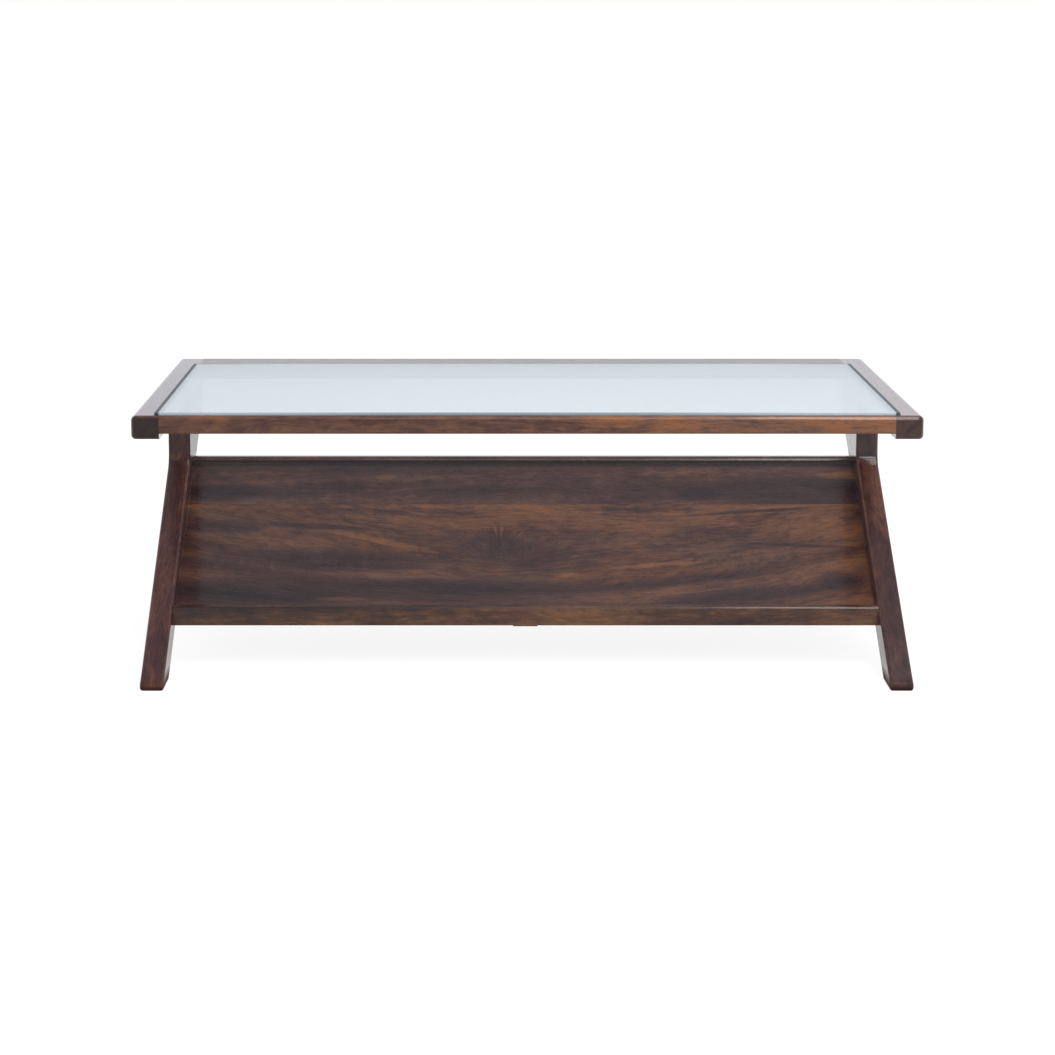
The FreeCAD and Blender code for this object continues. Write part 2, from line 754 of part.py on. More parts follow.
def screw(start, length, turn, tilted=False):
    """Round-headed screw: the head rests on a face at a place, and the shank lies along the turned Z axis."""
    head = many_sided("ScrewHead", SCREW_SIDES, size["screw_head_diameter"], size["screw_head_height"])
    bind(head, "Placement.Base.z", -size["screw_head_height"])
    shank = many_sided("ScrewShank", SCREW_SIDES, size["screw_diameter"], length)
    whole = doc.addObject("Part::Fuse", "Screw")
    whole.Base = head
    whole.Tool = shank
    whole.Placement = FreeCAD.Placement(FreeCAD.Vector(), turn)
    if tilted:
        tilt(whole)
    place(whole, start)
    return whole


def loose_tenons():
    """Loose tenons that join each head to its front leg."""
    tenons = []
    for side in (-1, 1):
        block = doc.addObject("Part::Box", "LooseTenon")
        bind(block, "Length", size["tenon_thickness"])
        bind(block, "Width", knee_tenon[1] - knee_tenon[0])
        bind(block, "Height", size["knee_tenon_depth"] + size["rail_tenon_depth"])
        place(block, (side * leg_middle - half_tenon, knee_tenon[0], knee_joint - size["knee_tenon_depth"]))
        tenons.append(block)
    group("knee_tenons", tenons)


def board_screws(label, columns, thick):
    """Screws from the underside of a batten up into each shelf board."""
    screws = []
    for line in top_board_screws + lower_board_screws:
        y, z = on_shelf(line, size["board_thickness"] + thick)
        for x in columns:
            screws.append(screw((x, y, z), thick + size["board_screw_grip"], UPRIGHT, tilted=True))
    group(label, screws)


def leg_screws():
    """Screws from the inner side of each bearer into the front leg."""
    screws = []
    start = inner - size["bearer_width"]
    for y, z in leg_screw_places:
        for side, turn in ((1, TURN_X), (-1, TURN_BACK_X)):
            screws.append(screw((side * start, y, z), size["bearer_width"] + size["leg_screw_grip"], turn))
    group("bearer_leg_screws", screws)


def glass_pads():
    """Clear pads on the rebates, under the glass."""
    across = size["pad_ledge_share"]
    front_ledge = -half_depth + size["front_rail_width"]
    back_ledge = half_depth - size["back_rail_width"]
    front_y = glass_front + (front_ledge - glass_front) * across
    back_y = glass_back + (back_ledge - glass_back) * across
    side_x = inner + size["glass_bearing"] * across
    reach = size["table_length"] * size["front_pad_share"]
    middle_y = (glass_front + glass_back) / 2
    places = [(x, y) for y in (front_y, back_y) for x in (-reach, reach)]
    places += [(-side_x, middle_y), (side_x, middle_y)]
    pads = []
    for x, y in places:
        disc = many_sided("Pad", PAD_SIDES, size["pad_diameter"], size["pad_thickness"])
        place(disc, (x, y, ledge))
        pads.append(disc)
    group("glass_pads", pads)


# Top frame and glass
side_rail("side_rail_left", -1)
side_rail("side_rail_right", 1)
front_rail()
back_rail()
glass_pane()
glass_pads()

# Side frames
for name, hand in (("left", -1), ("right", 1)):
    head(f"head_{name}", hand)
    front_leg(f"front_leg_{name}", hand)
    rear_leg(f"rear_leg_{name}", hand)
    bearer(f"shelf_bearer_{name}", hand)

# Magazine shelf
shelf_rail(
    "ridge_rail",
    (ridge_front, ridge_top - size["ridge_height"]),
    (ridge_front + size["ridge_width"], ridge_top),
    size["ridge_front_round"],
    size["ridge_back_round"],
    ridge_tenon,
)
shelf_rail(
    "lip_rail",
    (lip_front, size["lip_bottom"]),
    (lip_back, size["lip_bottom"] + size["lip_height"]),
    size["lip_round"],
    size["lip_round"],
    lip_tenon,
)
board_under = -size["board_thickness"]
board_bevel = size["board_thickness"] * shelf_rise
shelf_board(
    "shelf_board_top",
    [(0, 0), (-board_bevel, board_under), (-board_seam, board_under), (-board_seam, 0)],
    top_board_screws,
)
shelf_board(
    "shelf_board_bottom",
    [(-board_seam, 0), (-board_seam, board_under), (-shelf_length - board_bevel, board_under), (-shelf_length, 0)],
    lower_board_screws,
)
batten_end = shelf_length + board_bevel - size["batten_lip_gap"]
batten("centre_batten", 0, size["batten_width"], size["batten_thickness"], batten_end)

# Loose tenons and screws
loose_tenons()
leg_screws()
bearer_columns = [-(inner - size["bearer_width"] / 2), inner - size["bearer_width"] / 2]
board_screws("bearer_board_screws", bearer_columns, size["bearer_thickness"])
board_screws("batten_screws", [0], size["batten_thickness"])

doc.recompute()
for item in doc.Objects:
    if {"Invalid", "Error"} & set(item.State):
        raise RuntimeError(f"{item.Label} did not build")
for node in nodes:
    if node.Shape.isNull() or not node.Shape.isValid():
        raise RuntimeError(f"{node.Label} has no valid shape")
for node in nodes:
    node.Shape.exportStep(f"parts/{node.Label}.step")
    box = node.Shape.BoundBox
    extent = f"{box.XLength:.1f} x {box.YLength:.1f} x {box.ZLength:.1f}"
    print(f"{node.Label}: {len(node.Shape.Solids)} solid(s), {extent}")
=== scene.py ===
"""Looks of the glass topped coffee table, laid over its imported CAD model. Lengths are in metres."""

import math
from typing import NamedTuple

import bmesh
import bpy
from bpy.props import FloatProperty, FloatVectorProperty, PointerProperty
from bpy.types import Operator, Panel, PropertyGroup
from mathutils import Euler, Matrix, Vector


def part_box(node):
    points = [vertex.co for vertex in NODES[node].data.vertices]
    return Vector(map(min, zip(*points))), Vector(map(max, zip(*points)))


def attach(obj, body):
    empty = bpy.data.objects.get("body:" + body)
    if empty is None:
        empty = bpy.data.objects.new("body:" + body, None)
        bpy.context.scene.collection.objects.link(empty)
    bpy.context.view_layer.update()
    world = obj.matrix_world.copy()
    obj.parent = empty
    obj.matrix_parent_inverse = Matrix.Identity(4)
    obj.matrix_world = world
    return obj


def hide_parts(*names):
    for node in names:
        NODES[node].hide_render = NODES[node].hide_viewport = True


bl_info = {
    "name": "Glass Topped Coffee Table",
    "version": (1, 0, 0),
    "blender": (4, 5, 0),
    "location": "3D View > Sidebar > Coffee Table",
    "description": "Finishes the wood, glass and fixings of a coffee table with a magazine shelf",
    "category": "Object",
}

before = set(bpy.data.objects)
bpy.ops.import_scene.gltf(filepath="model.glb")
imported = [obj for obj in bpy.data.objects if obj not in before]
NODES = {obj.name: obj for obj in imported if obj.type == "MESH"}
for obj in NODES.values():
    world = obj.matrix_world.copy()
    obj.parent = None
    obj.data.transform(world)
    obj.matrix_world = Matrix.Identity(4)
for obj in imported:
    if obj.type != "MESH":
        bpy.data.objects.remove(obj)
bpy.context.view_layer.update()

# Slopes of the shelf and the legs, and the point that the pattern of the shelf boards is measured from
SLOPE = math.radians(35.5)
FRONT_LEAN = math.atan(1 / 1.363)
REAR_LEAN = math.atan(1.42)
SHELF_FOOT = Vector((0, -0.160, 0.088))
# The camera's sensor in mm, and how far off it still sees
SENSOR_WIDTH = 36
FAR_CLIP = 200


# What a user would change


class WoodSettings(PropertyGroup):
    """The stain and the lacquer of the visible wood."""

    dark: FloatVectorProperty(
        name="Dark",
        description="Darkest grain of the stained wood",
        subtype="COLOR",
        default=(0.012, 0.004, 0.005),
    )
    brown: FloatVectorProperty(
        name="Brown",
        description="Ground colour of the stained wood",
        subtype="COLOR",
        default=(0.048, 0.018, 0.013),
    )
    light: FloatVectorProperty(
        name="Light",
        description="Lighter grain of the stained wood",
        subtype="COLOR",
        default=(0.105, 0.048, 0.028),
    )
    orange: FloatVectorProperty(
        name="Orange",
        description="Brightest streaks of the stained wood",
        subtype="COLOR",
        default=(0.17, 0.067, 0.026),
    )
    cool: FloatVectorProperty(
        name="Cool tint",
        description="Tint of the purple parts of the stain",
        subtype="COLOR",
        default=(0.88, 1.00, 1.24),
    )
    warm: FloatVectorProperty(
        name="Warm tint",
        description="Tint of the orange parts of the stain",
        subtype="COLOR",
        default=(1.13, 1.00, 0.82),
    )
    bare: FloatVectorProperty(
        name="Bare wood",
        description="Unstained beech of the tenons",
        subtype="COLOR",
        default=(0.55, 0.38, 0.22),
    )
    ring_spacing: FloatProperty(
        name="Ring spacing",
        description="Distance between growth rings",
        subtype="DISTANCE",
        unit="LENGTH",
        default=0.006,
    )
    roughness: FloatProperty(
        name="Roughness", description="Roughness of the wood under its lacquer", subtype="FACTOR", default=0.3
    )
    bare_roughness: FloatProperty(
        name="Roughness underneath",
        description="Roughness of undersides, which have no lacquer",
        subtype="FACTOR",
        default=0.8,
    )
    lacquer_roughness: FloatProperty(
        name="Lacquer roughness", description="Roughness of the lacquer", subtype="FACTOR", default=0.1
    )
    pore_depth: FloatProperty(
        name="Pore depth",
        description="Depth of the open pores",
        subtype="DISTANCE",
        unit="LENGTH",
        default=0.0003,
    )


class GlassSettings(PropertyGroup):
    """The pane, clear on its faces and ground on its edge."""

    # The tint is a painted reflection: the pale colour of the white surroundings reflected in the glass
    tint: FloatVectorProperty(
        name="Tint",
        description="Colour of the sheen on the glass",
        subtype="COLOR",
        default=(0.505, 0.570, 0.605),
    )
    edge: FloatVectorProperty(
        name="Edge",
        description="Colour of the ground edge in its middle",
        subtype="COLOR",
        default=(0.24, 0.30, 0.33),
    )
    edge_ends: FloatVectorProperty(
        name="Edge ends",
        description="Colour of the ground edge near the corners",
        subtype="COLOR",
        default=(0.46, 0.51, 0.57),
    )
    # The border colour and width make a painted shade line along the pane's sides and back
    shade_line_colour: FloatVectorProperty(
        name="Border colour",
        description="Colour of the line along the edge",
        subtype="COLOR",
        default=(0.015, 0.018, 0.02),
    )
    border: FloatProperty(
        name="Border",
        description="Width of the dark line where the edge shows through the face",
        subtype="DISTANCE",
        unit="LENGTH",
        default=0.008,
    )
    # How much of the tint, the painted reflection, shows seen square on and seen along the face
    clear_alpha: FloatProperty(
        name="Seen square on",
        description="Opacity of the glass seen square on",
        subtype="FACTOR",
        default=0.04,
    )
    grazing_reflection_alpha: FloatProperty(
        name="Seen along",
        description="Opacity of the glass seen along its face",
        subtype="FACTOR",
        default=0.82,
    )


class ScrewSettings(PropertyGroup):
    """The wood screws."""

    head_radius: FloatProperty(
        name="Head radius",
        description="Radius of a screw head",
        subtype="DISTANCE",
        unit="LENGTH",
        default=0.004,
    )
    head_height: FloatProperty(
        name="Head height",
        description="Height of a screw head",
        subtype="DISTANCE",
        unit="LENGTH",
        default=0.0024,
    )
    thread_radius: FloatProperty(
        name="Thread radius",
        description="Radius of the thread",
        subtype="DISTANCE",
        unit="LENGTH",
        default=0.002,
    )
    core_radius: FloatProperty(
        name="Core radius",
        description="Radius inside the thread",
        subtype="DISTANCE",
        unit="LENGTH",
        default=0.0014,
    )
    pitch: FloatProperty(
        name="Pitch",
        description="Rise of the thread in one turn",
        subtype="DISTANCE",
        unit="LENGTH",
        default=0.0018,
    )
    recess_depth: FloatProperty(
        name="Recess depth",
        description="Depth of the cross recess",
        subtype="DISTANCE",
        unit="LENGTH",
        default=0.0015,
    )


class StageSettings(PropertyGroup):
    """The floor, the lamps and the camera."""

    floor_size: FloatProperty(
        name="Floor size", description="Side of the floor", subtype="DISTANCE", unit="LENGTH", default=60
    )
    surround: FloatProperty(
        name="Surround", description="Strength of the light from all round", default=0.75
    )
    air: FloatVectorProperty(
        name="Air",
        description="Tint of the light from all round",
        subtype="COLOR",
        default=(0.935, 0.94, 1.0),
    )
    key_power: FloatProperty(
        name="Key lamp",
        description="Power of the large lamp above",
        unit="POWER",
        default=26,
    )
    strip_power: FloatProperty(
        name="Strip lamp",
        description="Power of the narrow lamp above",
        unit="POWER",
        default=34,
    )
    front_power: FloatProperty(
        name="Front lamp",
        description="Power of the small lamp in front",
        unit="POWER",
        default=8,
    )
    camera_place: FloatVectorProperty(
        name="Camera",
        description="Place of the camera",
        subtype="TRANSLATION",
        default=(-0.0647, -3.8581, 1.0417),
    )
    camera_tilt: FloatProperty(
        name="Tilt",
        description="How far the camera looks down",
        subtype="ANGLE",
        default=math.radians(7.3967),
    )
    camera_lens: FloatProperty(name="Lens", description="Focal length of the camera in mm", default=81.55)
    camera_shift: FloatVectorProperty(
        name="Shift", description="Sideways and upward shift of the picture", size=2, default=(0.0407, -0.2)
    )


class CoffeeTableSettings(PropertyGroup):
    """All that a user would change."""

    wood: PointerProperty(type=WoodSettings)
    glass: PointerProperty(type=GlassSettings)
    screws: PointerProperty(type=ScrewSettings)
    stage: PointerProperty(type=StageSettings)


# Materials


def find_socket(sockets, key):
    """A socket by its number, identifier or name."""
    if isinstance(key, int):
        return sockets[key]
    for attribute in ("identifier", "name"):
        for socket in sockets:
            if getattr(socket, attribute) == key:
                return socket
    raise KeyError(key)


class Value:
    """An output socket. Arithmetic on it adds Math nodes."""

    def __init__(self, finish, socket):
        self.finish = finish
        self.socket = socket

    def __add__(self, other):
        return self.finish.maths("ADD", self, other)

    def __radd__(self, other):
        return self.finish.maths("ADD", other, self)

    def __sub__(self, other):
        return self.finish.maths("SUBTRACT", self, other)

    def __rsub__(self, other):
        return self.finish.maths("SUBTRACT", other, self)

    def __mul__(self, other):
        return self.finish.maths("MULTIPLY", self, other)

    def __rmul__(self, other):
        return self.finish.maths("MULTIPLY", other, self)

    def __truediv__(self, other):
        return self.finish.maths("DIVIDE", self, other)

    def __rtruediv__(self, other):
        return self.finish.maths("DIVIDE", other, self)

    def __pow__(self, other):
        return self.finish.maths("POWER", self, other)

    def __rpow__(self, other):
        return self.finish.maths("POWER", other, self)

    def __abs__(self):
        return self.finish.maths("ABSOLUTE", self)


class Finish:
    """The nodes of a material, or of the surroundings, added one by one."""

    def __init__(self, owner):
        owner.use_nodes = True
        self.owner = owner
        self.tree = owner.node_tree
        self.tree.nodes.clear()

    def node(self, kind, settings=None, sockets=None, output=0):
        """Adds a node of any kind: its settings, then the values or links of its sockets."""
        node = self.tree.nodes.new(kind)
        for key, value in (settings or {}).items():
            if key == "stops":
                ramp = node.color_ramp
                while len(ramp.elements) < len(value):
                    ramp.elements.new(0.5)
                for element, (position, colour) in zip(ramp.elements, value):
                    element.position = position
                    element.color = (*colour, 1)
            else:
                setattr(node, key, value)
        for key, value in (sockets or {}).items():
            socket = find_socket(node.inputs, key)
            if isinstance(value, Value):
                self.tree.links.new(value.socket, socket)
            else:
                socket.default_value = value
        return Value(self, find_socket(node.outputs, output))

    def maths(self, operation, *numbers):
        """A Math node."""
        return self.node("ShaderNodeMath", {"operation": operation}, dict(enumerate(numbers)))

    def largest(self, first, *others):
        """The largest of some numbers."""
        for other in others:
            first = self.maths("MAXIMUM", first, other)
        return first

    def axes(self, vector):
        """The three numbers of a vector."""
        parts = self.node("ShaderNodeSeparateXYZ", None, {"Vector": vector})
        return [Value(self, socket) for socket in parts.socket.node.outputs]

    def moved(self, vector, step):
        """A vector with a step added."""
        return self.node("ShaderNodeVectorMath", {"operation": "ADD"}, {0: vector, 1: step})

    def laid(self, vector, turn, centre=(0, 0, 0)):
        """A vector as seen from a turned and centred piece."""
        return self.node(
            "ShaderNodeMapping",
            {"vector_type": "TEXTURE"},
            {"Vector": vector, "Location": centre, "Rotation": turn},
        )

    def noise(self, vector, spots, detail=2.0, roughness=0.5):
        """Noise with about that many spots to the metre along each way, 0 to 1 round a half."""
        scaled = self.node("ShaderNodeVectorMath", {"operation": "MULTIPLY"}, {0: vector, 1: spots})
        return self.node(
            "ShaderNodeTexNoise",
            None,
            {"Vector": scaled, "Scale": 1.0, "Detail": detail, "Roughness": roughness},
        )

    def bands(self, value, detail=2.0, roughness=0.5):
        """Uneven bands along one number, 0 to 1 round a half."""
        return self.node(
            "ShaderNodeTexNoise",
            {"noise_dimensions": "1D"},
            {"W": value, "Scale": 1.0, "Detail": detail, "Roughness": roughness},
        )

    def ease(self, value, low, high):
        """0 below low, 1 above high and a smooth step between."""
        return self.node(
            "ShaderNodeMapRange",
            {"interpolation_type": "SMOOTHSTEP"},
            {"Value": value, "From Min": low, "From Max": high},
        )

    def mix(self, factor, first, second, way="MIX"):
        """One colour laid over another."""
        sides = {
            key: value if isinstance(value, Value) else (*value[:3], 1)
            for key, value in (("A_Color", first), ("B_Color", second))
        }
        return self.node(
            "ShaderNodeMix",
            {"data_type": "RGBA", "blend_type": way},
            {"Factor_Float": factor, **sides},
            output="Result_Color",
        )

    def tinted(self, colour, tint):
        """A colour times a tint."""
        return self.mix(1.0, colour, tint, "MULTIPLY")

    def bump(self, strength, depth, height):
        """A normal that follows a height, 0 to 1 over the depth."""
        return self.node("ShaderNodeBump", None, {"Strength": strength, "Distance": depth, "Height": height})

    def shader(self, sockets):
        """A surface shader, with the values or links of its sockets."""
        return self.node("ShaderNodeBsdfPrincipled", None, sockets)

    def finished(self, sockets):
        """Ends the nodes in one surface shader. Gives their owner."""
        return self.surface(self.shader(sockets))

    def surface(self, shader, kind="ShaderNodeOutputMaterial"):
        """Ends the nodes in an output. Gives their owner."""
        output = self.tree.nodes.new(kind)
        self.tree.links.new(shader.socket, output.inputs["Surface"])
        return self.owner


def new_finish(name):
    """A material with no nodes yet."""
    return Finish(bpy.data.materials.new(name))


def shaded(colour, share):
    """A colour made darker, or lighter past a share of 1."""
    return tuple(part * share for part in colour)


def grey(level):
    """A grey."""
    return (level,) * 3


def turned(*steps):
    """The angles of a turn made of steps, each an axis and an angle, the last one first."""
    turn = Matrix.Identity(3)
    for axis, angle in steps:
        turn = turn @ Matrix.Rotation(angle, 3, axis)
    return turn.to_euler("XYZ")


ALONG_X = turned()
ALONG_Y = turned(("Z", math.pi / 2))
UPRIGHT = turned(("Y", -math.pi / 2))
ON_EDGE = turned(("X", math.pi / 2))
ON_SHELF = turned(("X", SLOPE))
ACROSS_SHELF = turned(("X", SLOPE), ("Z", math.pi / 2))
ALONG_FRONT_LEG = turned(("X", FRONT_LEAN), ("Z", math.pi / 2))
ALONG_REAR_LEG = turned(("X", -REAR_LEAN), ("Z", -math.pi / 2))


class Mark(NamedTuple):
    """A patch where the stain took in its own way; some marks are painted light or shade instead. Places and
    sizes are along the grain and across it.
    """

    place: tuple
    size: tuple
    lift: float  # lighter, or darker below 0
    warmth: float = 0.0  # more orange, or more purple below 0
    curl: float = 0.0  # strength of the cross figure
    slant: float = 0.0  # rise to the metre


class Knot(NamedTuple):
    """A knot that the fibres swell round, with short rays over its upper edge."""

    place: tuple
    size: tuple
    push: float
    ray_place: tuple
    ray_size: tuple


class Board(NamedTuple):
    """How one piece was cut from the log and how it took the stain. Some lifts and marks are painted light or
    shade.
    """

    turn: Euler  # from the grain, which runs along X, to the piece
    centre: tuple
    seed: float
    pith: tuple = (0.03, -0.05)  # middle of the growth rings, across the grain and through it
    taper: float = 0.02  # drift of the rings to the metre
    bow: float = 0.0
    lift: float = 0.0
    contrast: float = 1.0
    warmth: float = 0.0
    gloss: float = 0.8
    wear: float = 0.10  # how much lighter the arrises are
    tint: tuple = None
    marks: tuple = ()
    knot: Knot = None


REDDISH = (1.10, 0.98, 1.08)
OLIVE = (0.96, 0.99, 0.84)
END_GRAIN_TINT = (0.22, 0.16, 0.2)
# Where a seed takes a board in the log
SEED_STEPS = (3.71, 1.37, 2.23)
# Spots to the metre along the grain, across it and through it
WANDER = (1.6, 7, 7)
RIPPLE = (15, 60, 60)
FIBRE = (60, 950, 950)
STREAKS = (30, 290, 290)
FLECKS = (70, 420, 420)
MOTTLE = (42, 75, 75)
CLOUD = (6, 26, 26)
DRIFT = (3.5, 16, 16)
CURL = (115, 42, 42)
PORES = (110, 1500, 1500)
BROAD_BANDS = 34
KNOT_RAYS = 9
# How far the fibres stray, in metres
WANDER_SIZE = 0.08
RIPPLE_SIZE = 0.012
DEEP_WANDER_SIZE = 0.05
# The soles lose their lacquer between these heights
SCUFF = (0.006, 0.026)
# The tone at which each colour of the stain is full
STAIN_STOPS = (("dark", 0.12), ("brown", 0.42), ("light", 0.68), ("orange", 0.95))

ZINC_DULL = (0.42, 0.43, 0.44)
ZINC_BRIGHT = (0.68, 0.68, 0.66)
ZINC_YELLOWED = (0.45, 0.38, 0.25)
PAD_DARK = (0.72, 0.75, 0.76)
PAD_LIGHT = (0.86, 0.88, 0.88)
# Distances from the middle of the pane: where the painted shade line at the back grows darker, where the
# ground edge grows paler, and where the sheen is painted darker as painted shade
BACK_SHADE_LINE_DARKENS = (0.36, 0.56)
EDGE_PALES = (0.12, 0.5)
SHEEN_PAINTED_DARKER = (-0.3, 0.75)


class Wood(Finish):
    """The finish of one board. Its grain runs along X as the board lay in the log."""

    def __init__(self, name, settings, board):
        super().__init__(bpy.data.materials.new(name))
        self.settings = settings
        self.board = board
        self.place = self.node("ShaderNodeTexCoord", output="Object")
        self.facing = self.node("ShaderNodeTexCoord", output="Normal")
        self.shift = shaded(SEED_STEPS, board.seed)
        grain = self.laid(self.place, board.turn, board.centre)
        self.along, self.across, self.deep = self.axes(grain)
        self.end, self.edge, self.face = (abs(part) for part in self.axes(self.laid(self.facing, board.turn)))
        self.log = self.moved(grain, self.shift)
        self.run_fibres()
        self.draw_figure()

    def run_fibres(self):
        """Lets the fibres wander and swell round the knot, and lays the growth rings round the pith."""
        board = self.board
        wander = self.noise(self.log, WANDER, 2) - 0.5
        ripple = self.noise(self.log, RIPPLE, 2) - 0.5
        side = self.across + wander * WANDER_SIZE + ripple * RIPPLE_SIZE
        if board.bow:
            side = side - self.along * self.along * board.bow
        if board.knot:
            far = self.far(board.knot.place, board.knot.size)
            side = side + self.maths("EXPONENT", 0 - far) * board.knot.push
        fibres = self.node("ShaderNodeCombineXYZ", None, {"X": self.along, "Y": side, "Z": self.deep})
        self.flow = self.moved(fibres, self.shift)
        out = side - board.pith[0]
        down = self.deep + wander * DEEP_WANDER_SIZE - board.pith[1]
        self.ring = (out * out + down * down) ** 0.5 + self.along * board.taper

    def draw_figure(self):
        """The layers of the figure, from the finest to the broadest."""
        seed = self.board.seed
        self.pores = self.ease(self.noise(self.log, PORES, 1), 0.60, 0.68)
        self.fibre = self.noise(self.flow, FIBRE, 2)
        self.streaks = self.noise(self.flow, STREAKS, 3, 0.6)
        self.flecks = self.ease(self.noise(self.flow, FLECKS, 2), 0.56, 0.72)
        self.mottle = self.noise(self.flow, MOTTLE, 4, 0.65)
        self.rings = self.bands(self.ring / self.settings.ring_spacing + seed * 9.1, 2.5, 0.6)
        self.cloud = self.noise(self.flow, CLOUD, 4, 0.55)
        self.drift = self.noise(self.flow, DRIFT, 3, 0.6)
        self.broad = self.bands(self.ring * BROAD_BANDS + seed * 5.3, 1.5, 0.5)
        self.ragged = (self.cloud - 0.5) * 1.2 + (self.streaks - 0.5) * 0.9 + (self.mottle - 0.5) * 0.9

    def far(self, place, size, slant=0.0):
        """The square of how far off an oval's middle lies, 1 at its edge."""
        run = self.along - place[0]
        rise = self.across - place[1]
        if slant:
            rise = rise - run * slant
        return (run / size[0]) ** 2 + (rise / size[1]) ** 2

    def patch(self, mark):
        """A soft oval patch, 1 at its middle, with a ragged edge."""
        return self.ease(1 - self.far(mark.place, mark.size, mark.slant) + self.ragged, 0.0, 1.0)

    def tone(self):
        """How light the wood is before its marks, about 0 to 1."""
        board = self.board
        arris = 1 - self.ease(self.largest(self.end, self.edge, self.face), 0.80, 0.97)
        return (
            (self.rings - 0.5) * 0.22 * board.contrast
            + (self.broad - 0.5) * 0.30 * board.contrast
            + (self.fibre - 0.5) * 0.30
            + (self.streaks - 0.5) * 0.42 * board.contrast
            + (self.mottle - 0.5) * 0.42
            + (self.cloud - 0.5) * 0.75 * board.contrast
            - self.flecks * 0.10
            + arris * board.wear
            + 0.45
            + board.lift
        )

    def hue(self):
        """How orange the wood is before its marks, about 0 to 1."""
        drift = (self.drift - 0.5) * 1.1
        return drift + (self.mottle - 0.5) * 0.7 + (self.cloud - 0.5) * 0.6 + 0.5 + self.board.warmth

    def marked(self, tone, hue):
        """The tone and the hue with the board's marks over them."""
        curl = 0
        for mark in self.board.marks:
            patch = self.patch(mark)
            tone = tone + patch * mark.lift
            hue = hue + patch * mark.warmth
            if mark.curl:
                curl = curl + patch * mark.curl
        if curl:
            tone = tone + (self.noise(self.log, CURL, 4, 0.7) - 0.5) * curl
        return tone, hue

    def rayed(self, tone):
        """The tone with the rays of the board's knot over it."""
        knot = self.board.knot
        angle = self.maths("ARCTAN2", self.across - knot.place[1], self.along - knot.place[0])
        rays = self.bands(angle * KNOT_RAYS, 2, 0.6) - 0.5
        return tone + self.patch(Mark(knot.ray_place, knot.ray_size, 0)) * rays * 0.8

    def stained(self, tone, hue, end_grain):
        """The colour of the stained wood."""
        settings = self.settings
        stops = [(position, getattr(settings, name)) for name, position in STAIN_STOPS]
        colour = self.node("ShaderNodeValToRGB", {"stops": stops}, {"Fac": tone})
        colour = self.tinted(colour, self.mix(self.ease(hue, 0.15, 0.85), settings.cool, settings.warm))
        if self.board.tint:
            colour = self.tinted(colour, self.board.tint)
        colour = self.mix(self.pores * 0.55, colour, settings.dark)
        return self.mix(end_grain * 0.7, colour, self.tinted(colour, END_GRAIN_TINT))


def stained_wood(name, settings, board):
    """Figured hardwood, stained, and lacquered but for undersides and scuffed soles."""
    wood = Wood(name, settings, board)
    tone, hue = wood.marked(wood.tone(), wood.hue())
    if board.knot:
        tone = wood.rayed(tone)
    end_grain = wood.ease(wood.end, 0.55, 0.9)
    scuffed = 1 - wood.ease(wood.axes(wood.place)[2], *SCUFF)
    lacquered = wood.ease(wood.axes(wood.facing)[2], -0.75, -0.45) * (1 - scuffed)
    gloss = board.gloss + (wood.mottle - 0.5) * 0.2
    roughness = settings.bare_roughness + lacquered * (settings.roughness - settings.bare_roughness)
    return wood.finished(
        {
            "Base Color": wood.stained(tone, hue, end_grain),
            "Roughness": roughness + (wood.fibre - 0.5) * 0.25,
            "IOR": 1.3,
            "Coat Weight": lacquered * gloss * (1 - end_grain * 0.4),
            "Coat Roughness": settings.lacquer_roughness,
            "Coat IOR": 1.3,
            "Normal": wood.bump(0.25, settings.pore_depth, 1 - wood.pores - wood.fibre * 0.25),
        }
    )


def plain_wood(name, settings, colour, turn, seed):
    """Sawn wood with no lacquer, for pieces that stay out of sight."""
    wood = new_finish(name)
    grain = wood.laid(wood.node("ShaderNodeTexCoord", output="Object"), turn, (seed, 0, 0))
    rings = wood.noise(grain, (5, 90, 90), 3, 0.6)
    fibre = wood.noise(grain, (20, 700, 700), 2)
    pores = wood.ease(wood.noise(grain, (90, 1300, 1300), 1), 0.6, 0.68)
    tone = wood.ease(rings + (fibre - 0.5) * 0.5, 0.3, 0.7)
    paint = wood.mix(tone, shaded(colour, 0.55), colour)
    paint = wood.mix(pores * 0.5, paint, shaded(colour, 0.35))
    bump = wood.bump(0.3, settings.pore_depth, fibre - pores)
    return wood.finished({"Base Color": paint, "Roughness": 0.55 + fibre * 0.2, "Normal": bump})


